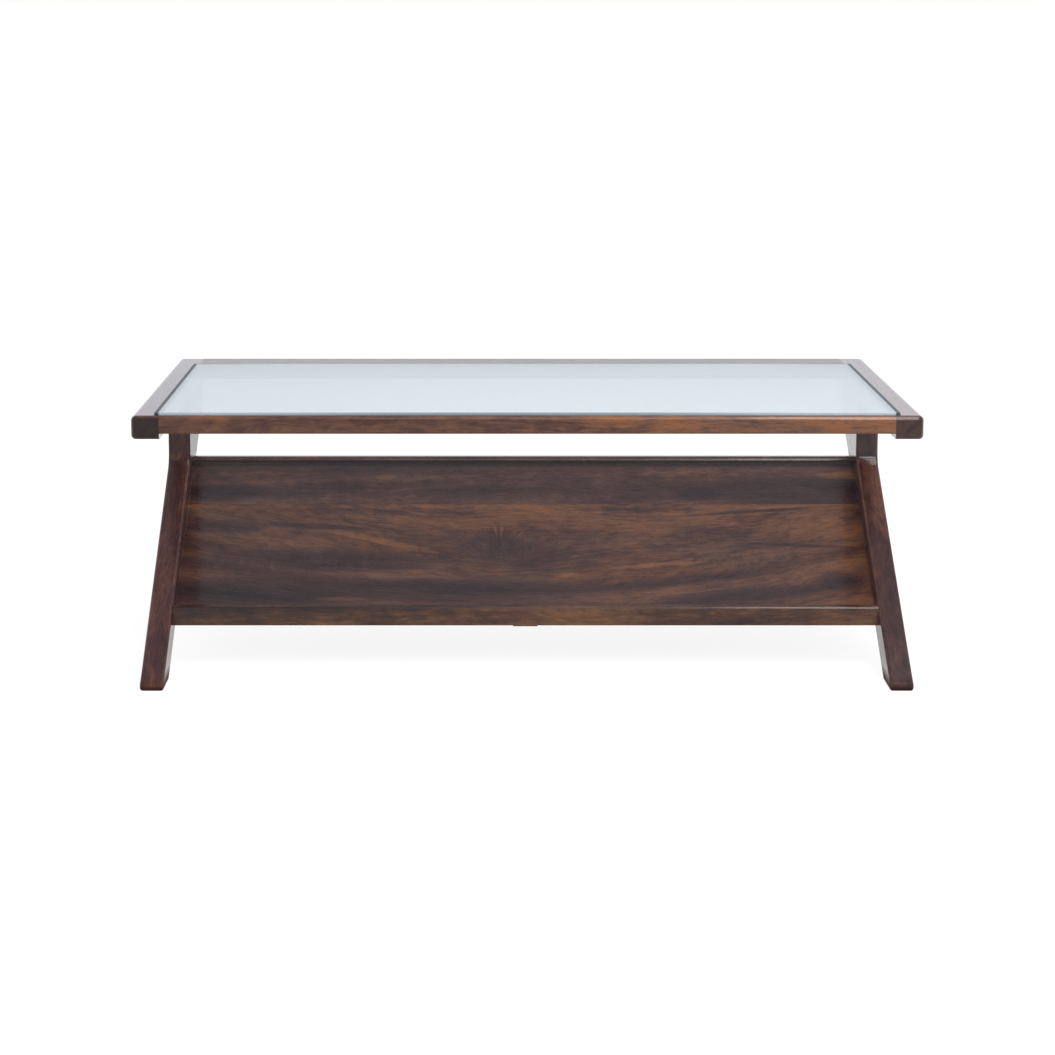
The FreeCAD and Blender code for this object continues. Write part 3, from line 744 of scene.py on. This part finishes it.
def glass(name, settings):
    """Float glass with a ground edge: clear seen square on and pale seen along its face, where the pale tint
    is a painted reflection of the white surroundings, with a painted shade line along its sides and back.
    """
    finish = new_finish(name)
    place = finish.node("ShaderNodeTexCoord", output="Object")
    along, back, _ = finish.axes(place)
    off_middle = abs(along)
    _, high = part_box("glass_pane")
    inner, outer = settings.border, settings.border * 0.7
    # Painted shade: a dark line along the sides and back of the pane, darker towards the back corners, also
    # drawn over the edge faces
    side_shade_line = finish.ease(off_middle, high.x - inner, high.x - outer)
    back_shade_line = finish.ease(back, high.y - inner, high.y - outer)
    back_shade_line = back_shade_line * (finish.ease(off_middle, *BACK_SHADE_LINE_DARKENS) * 0.55 + 0.25)
    up = finish.axes(finish.node("ShaderNodeTexCoord", output="Normal"))[2]
    rim = 1 - finish.ease(abs(up), 0.8, 0.95)
    line = finish.largest(side_shade_line, back_shade_line * (1 - rim))

    slant = finish.node("ShaderNodeLayerWeight", None, {"Blend": 0.5}, output="Facing")
    smear = finish.noise(place, (6, 9, 9), 3, 0.6)
    alpha_range = settings.grazing_reflection_alpha - settings.clear_alpha
    # Painted reflection: the pale tint, shown more the more the glass is seen along its face, stands for the
    # white surroundings reflected in it. Towards the right it is painted darker, as painted shade that evens
    # out the stronger lamp light there.
    sheen = finish.mix(finish.ease(along, *SHEEN_PAINTED_DARKER), settings.tint, shaded(settings.tint, 0.9))
    pane = finish.shader(
        {
            "Base Color": sheen,
            "Roughness": 0.03 + smear * 0.03,
            "IOR": 1.5,
            "Alpha": finish.ease(slant, 0.45, 0.92) * alpha_range + settings.clear_alpha,
        }
    )
    grind = finish.noise(place, (900, 900, 900), 2)
    ground = finish.mix(finish.ease(off_middle, *EDGE_PALES), settings.edge, settings.edge_ends)
    ground = finish.mix(line, ground, settings.shade_line_colour)
    edge = finish.shader(
        {
            "Base Color": finish.mix(grind * 0.4, ground, settings.edge),
            "Roughness": 0.4 + grind * 0.2,
            "Specular IOR Level": 0.25,
            "Alpha": 0.96,
        }
    )
    ends = finish.largest(rim, line)
    return finish.surface(finish.node("ShaderNodeMixShader", None, {0: ends, 1: pane, 2: edge}))


def pad_plastic(name):
    """Clear soft plastic."""
    plastic = new_finish(name)
    cloud = plastic.noise(plastic.node("ShaderNodeTexCoord", output="Object"), (700, 700, 700), 2)
    colour = plastic.mix(cloud, PAD_DARK, PAD_LIGHT)
    return plastic.finished({"Base Color": colour, "Roughness": 0.35 + cloud * 0.15, "Alpha": 0.55})


def zinc_steel(name):
    """Zinc plated steel."""
    steel = new_finish(name)
    place = steel.node("ShaderNodeTexCoord", output="Object")
    spangle = steel.noise(place, (900, 900, 900), 3, 0.6)
    yellowing = steel.noise(place, (160, 160, 160), 3)
    colour = steel.mix(steel.ease(spangle, 0.3, 0.7), ZINC_DULL, ZINC_BRIGHT)
    colour = steel.mix(steel.ease(yellowing, 0.5, 0.75) * 0.4, colour, ZINC_YELLOWED)
    bump = steel.bump(0.2, 0.0001, spangle)
    roughness = 0.28 + spangle * 0.2
    return steel.finished({"Base Color": colour, "Metallic": 1.0, "Roughness": roughness, "Normal": bump})


def put_on(material, name):
    """The material on a CAD node."""
    node = NODES[name]
    for slot in node.material_slots:
        slot.material = material
    if not node.material_slots:
        node.data.materials.append(material)


def stain(settings, boards):
    """Stained wood on CAD nodes, each cut from its own board."""
    for node, board in boards.items():
        put_on(stained_wood(f"{node}_wood", settings, board), node)


# New pieces

# Points that come nearer than these are taken as one
SAME_PLACE = 1e-6
SEAM = 1e-5
SHORTEST_EDGE = 2e-5
SHARP = math.radians(35)
PAD_ROUNDING_SHARE = 0.45
HEAD_ROUNDING_SHARE = 0.6
SCREW_TIP_SHARE = 0.12
# Radii of the cross recess as shares of the head's, and the width of an arm as a share of its length
RECESS_TIP_SHARE = 0.45
RECESS_MOUTH_SHARE = 0.8
RECESS_ARM_SHARE = 0.2
STEPS_PER_TURN = 14
# How much further round each screw stopped than the one before
SCREW_TURN = 1.1


def loose_parts(name):
    """The separate solids of a CAD node, each as its points."""
    shape = bmesh.new()
    shape.from_mesh(NODES[name].data)
    bmesh.ops.remove_doubles(shape, verts=shape.verts[:], dist=SEAM)
    parts = []
    seen = set()
    for start in shape.verts:
        if start in seen:
            continue
        seen.add(start)
        part, queue = [], [start]
        while queue:
            vert = queue.pop()
            part.append(vert.co.copy())
            for edge in vert.link_edges:
                other = edge.other_vert(vert)
                if other not in seen:
                    seen.add(other)
                    queue.append(other)
        parts.append(part)
    shape.free()
    return parts


def middle(points):
    """The middle of some points' box."""
    axes = list(zip(*points))
    return Vector([(min(axis) + max(axis)) / 2 for axis in axes])


def round_bar(shape, radius, low, high, tip_radius=None, sides=32):
    """A round bar along Z, or a cone, added to a shape. Gives its new points."""
    centre = Matrix.Translation((0, 0, (low + high) / 2))
    made = bmesh.ops.create_cone(
        shape,
        cap_ends=True,
        segments=sides,
        radius1=radius,
        radius2=radius if tip_radius is None else tip_radius,
        depth=high - low,
        matrix=centre,
    )
    return made["verts"]


def round_over(shape, verts, height, size, segments):
    """Rounds the rim of a round bar at a height."""
    at_height = [vert for vert in verts if abs(vert.co.z - height) < SAME_PLACE]
    rim = dict.fromkeys(
        edge for vert in at_height for edge in vert.link_edges if edge.other_vert(vert) in at_height
    )
    bmesh.ops.bevel(
        shape,
        geom=list(rim),
        offset=size,
        offset_type="OFFSET",
        affect="EDGES",
        segments=segments,
        profile=0.5,
        material=-1,
    )


def make_mesh(name, shape):
    """A shape as a mesh. The shape is done with."""
    mesh = bpy.data.meshes.new(name)
    shape.to_mesh(mesh)
    shape.free()
    return mesh


def make_object(name, shape):
    """A shape as an object in the scene."""
    thing = bpy.data.objects.new(name, make_mesh(name, shape))
    bpy.context.scene.collection.objects.link(thing)
    return thing


def cross_blade(settings, turn):
    """One arm of the cross that is cut into a screw head, wider at its mouth."""
    shape = bmesh.new()
    tip = settings.head_radius * RECESS_TIP_SHARE
    mouth = settings.head_radius * RECESS_MOUTH_SHARE
    verts = round_bar(shape, tip, 0, settings.recess_depth * 2, mouth, sides=4)
    square_on = Matrix.Rotation(math.pi, 3, "X") @ Matrix.Rotation(math.pi / 4, 3, "Z")
    bmesh.ops.rotate(shape, verts=verts, matrix=square_on)
    bmesh.ops.scale(shape, verts=verts, vec=(1, RECESS_ARM_SHARE, 1))
    bmesh.ops.rotate(shape, verts=verts, matrix=Matrix.Rotation(turn, 3, "Z"))
    bmesh.ops.translate(shape, verts=verts, vec=(0, 0, settings.recess_depth - settings.head_height))
    return make_object("cross_blade", shape)


def thread_ridge(settings, low, high):
    """The ridge of a thread round the Z axis, between two heights."""
    shape = bmesh.new()
    depth = settings.thread_radius - settings.core_radius
    place = Matrix.Translation((settings.core_radius, 0, low)) @ Matrix.Rotation(math.pi / 2, 4, "X")
    bmesh.ops.create_circle(shape, cap_ends=False, segments=3, radius=depth, matrix=place)
    turns = math.floor((high - low) / settings.pitch)
    bmesh.ops.spin(
        shape,
        geom=[*shape.verts, *shape.edges],
        cent=(0, 0, 0),
        axis=(0, 0, 1),
        dvec=(0, 0, settings.pitch / STEPS_PER_TURN),
        angle=math.tau * turns,
        steps=STEPS_PER_TURN * turns,
        use_merge=False,
    )
    bmesh.ops.holes_fill(shape, edges=shape.edges[:], sides=3)
    bmesh.ops.recalc_face_normals(shape, faces=shape.faces[:])
    return make_object("thread_ridge", shape)


def screw_blank(settings, length, point):
    """A screw before its thread and recess are cut: its head under the origin and its shank up along Z."""
    shape = bmesh.new()
    top = -settings.head_height
    head = round_bar(shape, settings.head_radius, top, 0)
    round_over(shape, head, top, settings.head_height * HEAD_ROUNDING_SHARE, 5)
    end = max(shape.faces, key=lambda face: face.calc_center_median().z)
    bmesh.ops.inset_individual(shape, faces=[end], thickness=settings.head_radius - settings.core_radius)
    for rise, share in ((length - point, 1), (point, SCREW_TIP_SHARE)):
        made = bmesh.ops.extrude_face_region(shape, geom=[end])["geom"]
        bmesh.ops.delete(shape, geom=[end], context="FACES_ONLY")
        end = next(item for item in made if isinstance(item, bmesh.types.BMFace))
        bmesh.ops.translate(shape, verts=end.verts, vec=(0, 0, rise))
        bmesh.ops.scale(shape, verts=end.verts, vec=(share, share, 1))
    bmesh.ops.recalc_face_normals(shape, faces=shape.faces[:])
    return make_object("screw_blank", shape)


def screw_shape(settings, length):
    """A wood screw, with a cross recess in its head and a thread round its shank."""
    point = settings.thread_radius * 2
    blank = screw_blank(settings, length, point)
    tools = [
        (cross_blade(settings, 0), "DIFFERENCE"),
        (cross_blade(settings, math.pi / 2), "DIFFERENCE"),
        (thread_ridge(settings, point, length - point), "UNION"),
    ]
    for tool, operation in tools:
        cut = blank.modifiers.new(tool.name, "BOOLEAN")
        cut.operation, cut.solver, cut.object = operation, "MANIFOLD", tool
    bpy.context.view_layer.update()
    screw = bpy.data.meshes.new_from_object(blank.evaluated_get(bpy.context.evaluated_depsgraph_get()))
    shape = bmesh.new()
    shape.from_mesh(screw)
    bmesh.ops.remove_doubles(shape, verts=shape.verts[:], dist=SHORTEST_EDGE)
    bmesh.ops.triangulate(shape, faces=shape.faces[:])
    bpy.data.meshes.remove(screw)
    for thing in (blank, *(tool for tool, _ in tools)):
        mesh = thing.data
        bpy.data.objects.remove(thing)
        bpy.data.meshes.remove(mesh)
    return shape


def fit_piece(name, shape, material, node):
    """A new piece on the table, in the place of a CAD node."""
    piece = make_object(name, shape)
    for face in piece.data.polygons:
        face.use_smooth = True
    piece.data.set_sharp_from_angle(angle=SHARP)
    piece.data.materials.append(material)
    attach(piece, "table")
    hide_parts(node)
    return piece


# Operators


class COFFEETABLE_OT_top_frame(Operator):
    """Stain and lacquer the four members of the top frame"""

    bl_idname = "coffeetable.top_frame"
    bl_label = "Finish top frame"
    bl_options = {"REGISTER", "UNDO"}

    def execute(self, context):
        wood = context.scene.coffee_table.wood
        boards = {
            # Painted light: the left rail is made darker and the right one lighter, as light falls more
            # strongly from the right
            "side_rail_left": Board(
                ALONG_Y,
                (-0.58, 0, 0.41),
                seed=1.3,
                pith=(0.05, -0.03),
                lift=-0.12,
                gloss=1.0,
            ),
            "side_rail_right": Board(
                ALONG_Y,
                (0.58, 0, 0.41),
                seed=2.9,
                pith=(-0.04, -0.03),
                lift=0.16,
                warmth=-0.4,
                gloss=1.0,
            ),
            "front_rail": Board(
                ON_EDGE,
                (0, -0.29, 0.414),
                seed=4.1,
                pith=(0.05, -0.01),
                taper=0.012,
                lift=0.08,
                contrast=1.5,
                warmth=0.6,
                # Painted light: the marks make the rail lighter towards its right end and darker towards its
                # left
                marks=(Mark((0.5, 0), (0.45, 0.1), 0.25, -0.5), Mark((-0.45, 0), (0.35, 0.1), -0.05, 0.4)),
            ),
            "back_rail": Board(ALONG_X, (0, 0.25, 0.418), seed=5.7, pith=(0.02, -0.05), gloss=0.65),
        }
        stain(wood, boards)
        return {"FINISHED"}


class COFFEETABLE_OT_side_frames(Operator):
    """Stain and lacquer the heads and legs"""

    bl_idname = "coffeetable.side_frames"
    bl_label = "Finish side frames"
    bl_options = {"REGISTER", "UNDO"}

    def execute(self, context):
        wood = context.scene.coffee_table.wood
        head = Board(
            UPRIGHT,
            (-0.575, 0.17, 0.34),
            seed=6.3,
            lift=-0.10,
            contrast=1.3,
            warmth=-0.1,
            gloss=0.35,
            wear=0,
        )
        front_leg = Board(
            ALONG_FRONT_LEG,
            (-0.575, -0.1, 0.12),
            seed=8.2,
            lift=-0.015,
            contrast=0.9,
            gloss=0.45,
            tint=REDDISH,
        )
        rear_leg = Board(ALONG_REAR_LEG, (-0.575, 0.19, 0.13), seed=11.4, lift=-0.03, tint=REDDISH)
        boards = {
            "head_left": head,
            "head_right": head._replace(
                centre=(0.575, 0.17, 0.34),
                seed=7.7,
                lift=-0.02,
                warmth=-0.35,
                gloss=0.8,
            ),
            "front_leg_left": front_leg,
            "front_leg_right": front_leg._replace(
                centre=(0.575, -0.1, 0.12),
                seed=9.9,
                lift=0.01,
                # Painted highlight: the mark lightens the upper part of the right leg
                marks=(Mark((0.2, 0), (0.14, 0.2), 0.20, 0.2),),
            ),
            "rear_leg_left": rear_leg,
            "rear_leg_right": rear_leg._replace(centre=(0.575, 0.19, 0.13), seed=12.8),
        }
        stain(wood, boards)
        return {"FINISHED"}


class COFFEETABLE_OT_shelf(Operator):
    """Stain and lacquer the boards and rails of the shelf"""

    bl_idname = "coffeetable.shelf"
    bl_label = "Finish shelf"
    bl_options = {"REGISTER", "UNDO"}

    def execute(self, context):
        wood = context.scene.coffee_table.wood
        # Each mark's place and half size along the rise of the shelf, its lift and its warmth
        bottom_marks = (
            Mark((0.12, 0.195), (0.50, 0.032), 0.10, 0.25),
            Mark((0.45, 0.180), (0.16, 0.035), 0.12, 0.30),
            Mark((-0.22, 0.148), (0.12, 0.009), 0.24, 0.45, slant=-0.27),
            Mark((-0.50, 0.182), (0.09, 0.016), -0.18, -0.4),
            Mark((-0.35, 0.184), (0.13, 0.008), -0.20, -0.3, slant=-0.07),
            Mark((-0.36, 0.108), (0.24, 0.032), -0.18, -0.5, curl=0.5),
            Mark((-0.04, 0.136), (0.085, 0.034), -0.15, -0.55, curl=0.8),
            Mark((0.36, 0.115), (0.12, 0.022), 0.03, -0.2, curl=0.5),
            Mark((0.38, 0.217), (0.16, 0.0045), -0.26, -0.1, slant=0.085),
            Mark((0.45, 0.142), (0.13, 0.005), -0.20, -0.2, slant=-0.05),
            Mark((0.23, 0.101), (0.09, 0.006), 0.24, 0.4, slant=0.09),
            Mark((-0.42, 0.045), (0.22, 0.038), -0.30, -0.5),
            Mark((-0.10, 0.045), (0.26, 0.032), -0.23, -0.45),
            Mark((0.0, 0.2275), (3.0, 0.006), 0.10, 0.2),
            Mark((0.26, 0.068), (0.19, 0.013), -0.18, -0.3, slant=0.13),
            Mark((0.36, 0.038), (0.18, 0.018), -0.22, -0.35, slant=0.10),
            Mark((0.505, 0.066), (0.045, 0.024), -0.24, -0.2),
            Mark((0.06, 0.079), (0.035, 0.006), 0.26, 0.4),
            Mark((-0.29, 0.029), (0.05, 0.006), 0.18, 0.3),
        )
        top_marks_and_shade = (
            Mark((-0.50, 0.260), (0.10, 0.024), -0.14, -0.4),
            Mark((-0.36, 0.288), (0.24, 0.020), 0.06, 0.15),
            Mark((-0.07, 0.263), (0.12, 0.016), -0.10, -0.2),
            Mark((0.193, 0.248), (0.06, 0.014), -0.16, -0.4),
            Mark((0.288, 0.256), (0.06, 0.020), -0.24, -0.5),
            Mark((0.45, 0.262), (0.20, 0.036), -0.18, -0.5),
            Mark((0.54, 0.297), (0.05, 0.010), 0.20, 0.4),
            # Painted shade: a dark strip along the top of the board, under the ridge rail
            Mark((0.0, 0.326), (3.0, 0.010), -0.30, 0.25),
        )
        # Painted shade: a black line along the rail and a darker band where it meets the boards
        ridge_painted_shade = (
            Mark((0.0, 0.0075), (3.0, 0.0022), -0.7),
            Mark((0.0, -0.003), (3.0, 0.010), -0.15, 0.5),
        )
        # Painted reflection: a dark line along the rail's top rounding, standing for the dark it reflects
        # there
        lip_painted_shade = (Mark((0.0, 0.0125), (3.0, 0.0014), -0.3),)
        boards = {
            "shelf_board_top": Board(
                ON_SHELF,
                SHELF_FOOT,
                seed=17.9,
                pith=(0.33, -0.06),
                taper=0.015,
                lift=-0.04,
                warmth=-0.18,
                marks=top_marks_and_shade,
            ),
            "shelf_board_bottom": Board(
                ON_SHELF,
                SHELF_FOOT,
                seed=14.3,
                pith=(0.15, -0.07),
                bow=0.20,
                lift=0.06,
                warmth=0.05,
                marks=bottom_marks,
                knot=Knot(
                    place=(-0.04, 0.128),
                    size=(0.07, 0.035),
                    push=0.022,
                    ray_place=(-0.03, 0.170),
                    ray_size=(0.06, 0.020),
                ),
            ),
            "ridge_rail": Board(
                ON_EDGE,
                (0, 0.115, 0.273),
                seed=21.1,
                # Painted shade: the low lift darkens the whole rail
                lift=-0.11,
                warmth=-0.3,
                gloss=0.5,
                marks=ridge_painted_shade,
            ),
            "lip_rail": Board(
                ON_EDGE,
                (0, -0.17, 0.088),
                seed=24.7,
                warmth=0.6,
                contrast=1.4,
                tint=OLIVE,
                marks=lip_painted_shade,
            ),
        }
        stain(wood, boards)
        return {"FINISHED"}


class COFFEETABLE_OT_hidden_wood(Operator):
    """Finish the bearers, the batten and the loose tenons"""

    bl_idname = "coffeetable.hidden_wood"
    bl_label = "Finish hidden wood"
    bl_options = {"REGISTER", "UNDO"}

    def execute(self, context):
        wood = context.scene.coffee_table.wood
        oiled = shaded(wood.light, 1.3)
        pieces = (
            ("shelf_bearer_left", "left_bearer_wood", oiled, ACROSS_SHELF, 1.7),
            ("shelf_bearer_right", "right_bearer_wood", oiled, ACROSS_SHELF, 3.9),
            ("centre_batten", "batten_wood", oiled, ACROSS_SHELF, 6.1),
            ("knee_tenons", "tenon_beech", tuple(wood.bare), UPRIGHT, 8.3),
        )
        for node, name, colour, turn, seed in pieces:
            put_on(plain_wood(name, wood, colour, turn, seed), node)
        return {"FINISHED"}


class COFFEETABLE_OT_glass(Operator):
    """Make the pane clear and lay it on round pads"""

    bl_idname = "coffeetable.glass"
    bl_label = "Finish glass and pads"
    bl_options = {"REGISTER", "UNDO"}

    def execute(self, context):
        put_on(glass("float_glass", context.scene.coffee_table.glass), "glass_pane")
        shape = bmesh.new()
        for points in loose_parts("glass_pads"):
            low, high = min(point.z for point in points), max(point.z for point in points)
            centre = middle(points)
            radius = max(point.x for point in points) - centre.x
            pad = round_bar(shape, radius, low, high)
            bmesh.ops.translate(shape, verts=pad, vec=(centre.x, centre.y, 0))
            round_over(shape, pad, high, (high - low) * PAD_ROUNDING_SHARE, 4)
        fit_piece("round_pads", shape, pad_plastic("pad_plastic"), "glass_pads")
        return {"FINISHED"}


class COFFEETABLE_OT_screws(Operator):
    """Fit the screws, with threads and cross recesses"""

    bl_idname = "coffeetable.screws"
    bl_label = "Fit screws"
    bl_options = {"REGISTER", "UNDO"}

    def execute(self, context):
        settings = context.scene.coffee_table.screws
        steel = zinc_steel("zinc_steel")
        for node in ("bearer_leg_screws", "bearer_board_screws", "batten_screws"):
            fit_piece(f"{node}_steel", self.driven(node, settings), steel, node)
        return {"FINISHED"}

    @staticmethod
    def driven(node, settings):
        """The screws of a CAD node as one shape, each in its own place."""
        through_board = Vector((0, -math.sin(SLOPE), math.cos(SLOPE)))
        along_x = node == "bearer_leg_screws"
        screws = bmesh.new()
        pattern = None
        for count, points in enumerate(loose_parts(node)):
            centre = middle(points)
            way = Vector((math.copysign(1, centre.x), 0, 0)) if along_x else through_board
            heights = [point.dot(way) for point in points]
            if pattern is None:
                length = max(heights) - min(heights) - settings.head_height
                pattern = make_mesh("screw", screw_shape(settings, length))
            seat = centre + way * (min(heights) + settings.head_height - centre.dot(way))
            turn = way.to_track_quat("Z", "Y") @ Matrix.Rotation(count * SCREW_TURN, 3, "Z").to_quaternion()
            screw = pattern.copy()
            screw.transform(Matrix.Translation(seat) @ turn.to_matrix().to_4x4())
            screws.from_mesh(screw)
            bpy.data.meshes.remove(screw)
        bpy.data.meshes.remove(pattern)
        return screws


class COFFEETABLE_OT_stage(Operator):
    """Lay the floor, hang the lamps and set up the camera"""

    bl_idname = "coffeetable.stage"
    bl_label = "Set the stage"
    bl_options = {"REGISTER", "UNDO"}

    def execute(self, context):
        scene = context.scene
        stage = scene.coffee_table.stage
        scene.view_settings.view_transform = "Standard"

        shape = bmesh.new()
        bmesh.ops.create_grid(shape, x_segments=1, y_segments=1, size=stage.floor_size / 2)
        floor = make_object("floor", shape)
        floor.data.materials.append(self.floor_paint())

        self.surround(scene, stage)
        self.lamp("key_lamp", (0.9, -1.8, 2.6), tilt=38, size=(2.6, 2.0), power=stage.key_power)
        self.lamp("strip_lamp", (0.86, -1.5, 2.45), tilt=25, size=(0.5, 2.2), power=stage.strip_power)
        self.lamp("front_lamp", (1.05, -2.6, 1.6), tilt=65, size=(0.4, 0.5), power=stage.front_power)

        lens = bpy.data.cameras.new("camera")
        lens.lens = stage.camera_lens
        lens.sensor_width = SENSOR_WIDTH
        lens.shift_x, lens.shift_y = stage.camera_shift
        lens.clip_end = FAR_CLIP
        camera = bpy.data.objects.new("camera", lens)
        camera.location = stage.camera_place
        camera.rotation_euler = (math.pi / 2 - stage.camera_tilt, 0, 0)
        scene.collection.objects.link(camera)
        scene.camera = camera
        return {"FINISHED"}

    @staticmethod
    def lamp(name, place, tilt, size, power):
        """A lamp that looks down, and back by its tilt in degrees. It isn't seen itself."""
        light = bpy.data.lights.new(name, "AREA")
        light.shape = "RECTANGLE"
        light.size, light.size_y = size
        light.energy = power
        lamp = bpy.data.objects.new(name, light)
        lamp.matrix_world = Matrix.Translation(place) @ Matrix.Rotation(math.radians(tilt), 4, "X")
        lamp.visible_camera = False
        bpy.context.scene.collection.objects.link(lamp)

    @staticmethod
    def seen_rays(finish):
        """1 for rays that show the surroundings, 0 for rays that light the object."""
        path = finish.node("ShaderNodeLightPath")
        rays = path.socket.node.outputs
        names = ("Is Camera Ray", "Is Glossy Ray", "Is Transmission Ray")
        return finish.largest(*(Value(finish, rays[name]) for name in names))

    def floor_paint(self):
        """White paint that shows as the backdrop and still takes a shadow."""
        paint = new_finish("floor_paint")
        seen = self.seen_rays(paint)
        return paint.finished(
            {
                "Base Color": paint.mix(seen, grey(0.8), grey(0.26)),
                "Roughness": 1.0,
                "Specular IOR Level": 0.0,
                "Emission Color": paint.mix(seen, grey(0), grey(0.86)),
                "Emission Strength": 1.0,
            }
        )

    def surround(self, scene, stage):
        """Light from all round, white where it is seen."""
        air = Finish(bpy.data.worlds.new("surround"))
        strength = self.seen_rays(air) * (1 - stage.surround) + stage.surround
        path = air.node("ShaderNodeLightPath", output="Is Camera Ray")
        colour = air.mix(path, stage.air, grey(1))
        light = air.node("ShaderNodeBackground", None, {"Color": colour, "Strength": strength})
        scene.world = air.surface(light, "ShaderNodeOutputWorld")


class COFFEETABLE_PT_sidebar(Panel):
    """Lists the steps that finish the table"""

    bl_idname = "COFFEETABLE_PT_sidebar"
    bl_label = "Coffee Table"
    bl_space_type = "VIEW_3D"
    bl_region_type = "UI"
    bl_category = "Coffee Table"

    def draw(self, context):
        for operator in OPERATORS:
            self.layout.operator(operator.bl_idname)
        for group in ("wood", "glass", "screws", "stage"):
            settings = getattr(context.scene.coffee_table, group)
            for name in settings.bl_rna.properties.keys():
                if name not in ("rna_type", "name"):
                    self.layout.prop(settings, name)


OPERATORS = (
    COFFEETABLE_OT_top_frame,
    COFFEETABLE_OT_side_frames,
    COFFEETABLE_OT_shelf,
    COFFEETABLE_OT_hidden_wood,
    COFFEETABLE_OT_glass,
    COFFEETABLE_OT_screws,
    COFFEETABLE_OT_stage,
)
GROUPS = (WoodSettings, GlassSettings, ScrewSettings, StageSettings, CoffeeTableSettings)
CLASSES = (*GROUPS, *OPERATORS, COFFEETABLE_PT_sidebar)


def register():
    for item in CLASSES:
        bpy.utils.register_class(item)
    bpy.types.Scene.coffee_table = PointerProperty(type=CoffeeTableSettings)


def unregister():
    del bpy.types.Scene.coffee_table
    for item in reversed(CLASSES):
        bpy.utils.unregister_class(item)


def main():
    register()
    for operator in OPERATORS:
        family, name = operator.bl_idname.split(".")
        getattr(getattr(bpy.ops, family), name)()


if __name__ == "__main__":
    main()
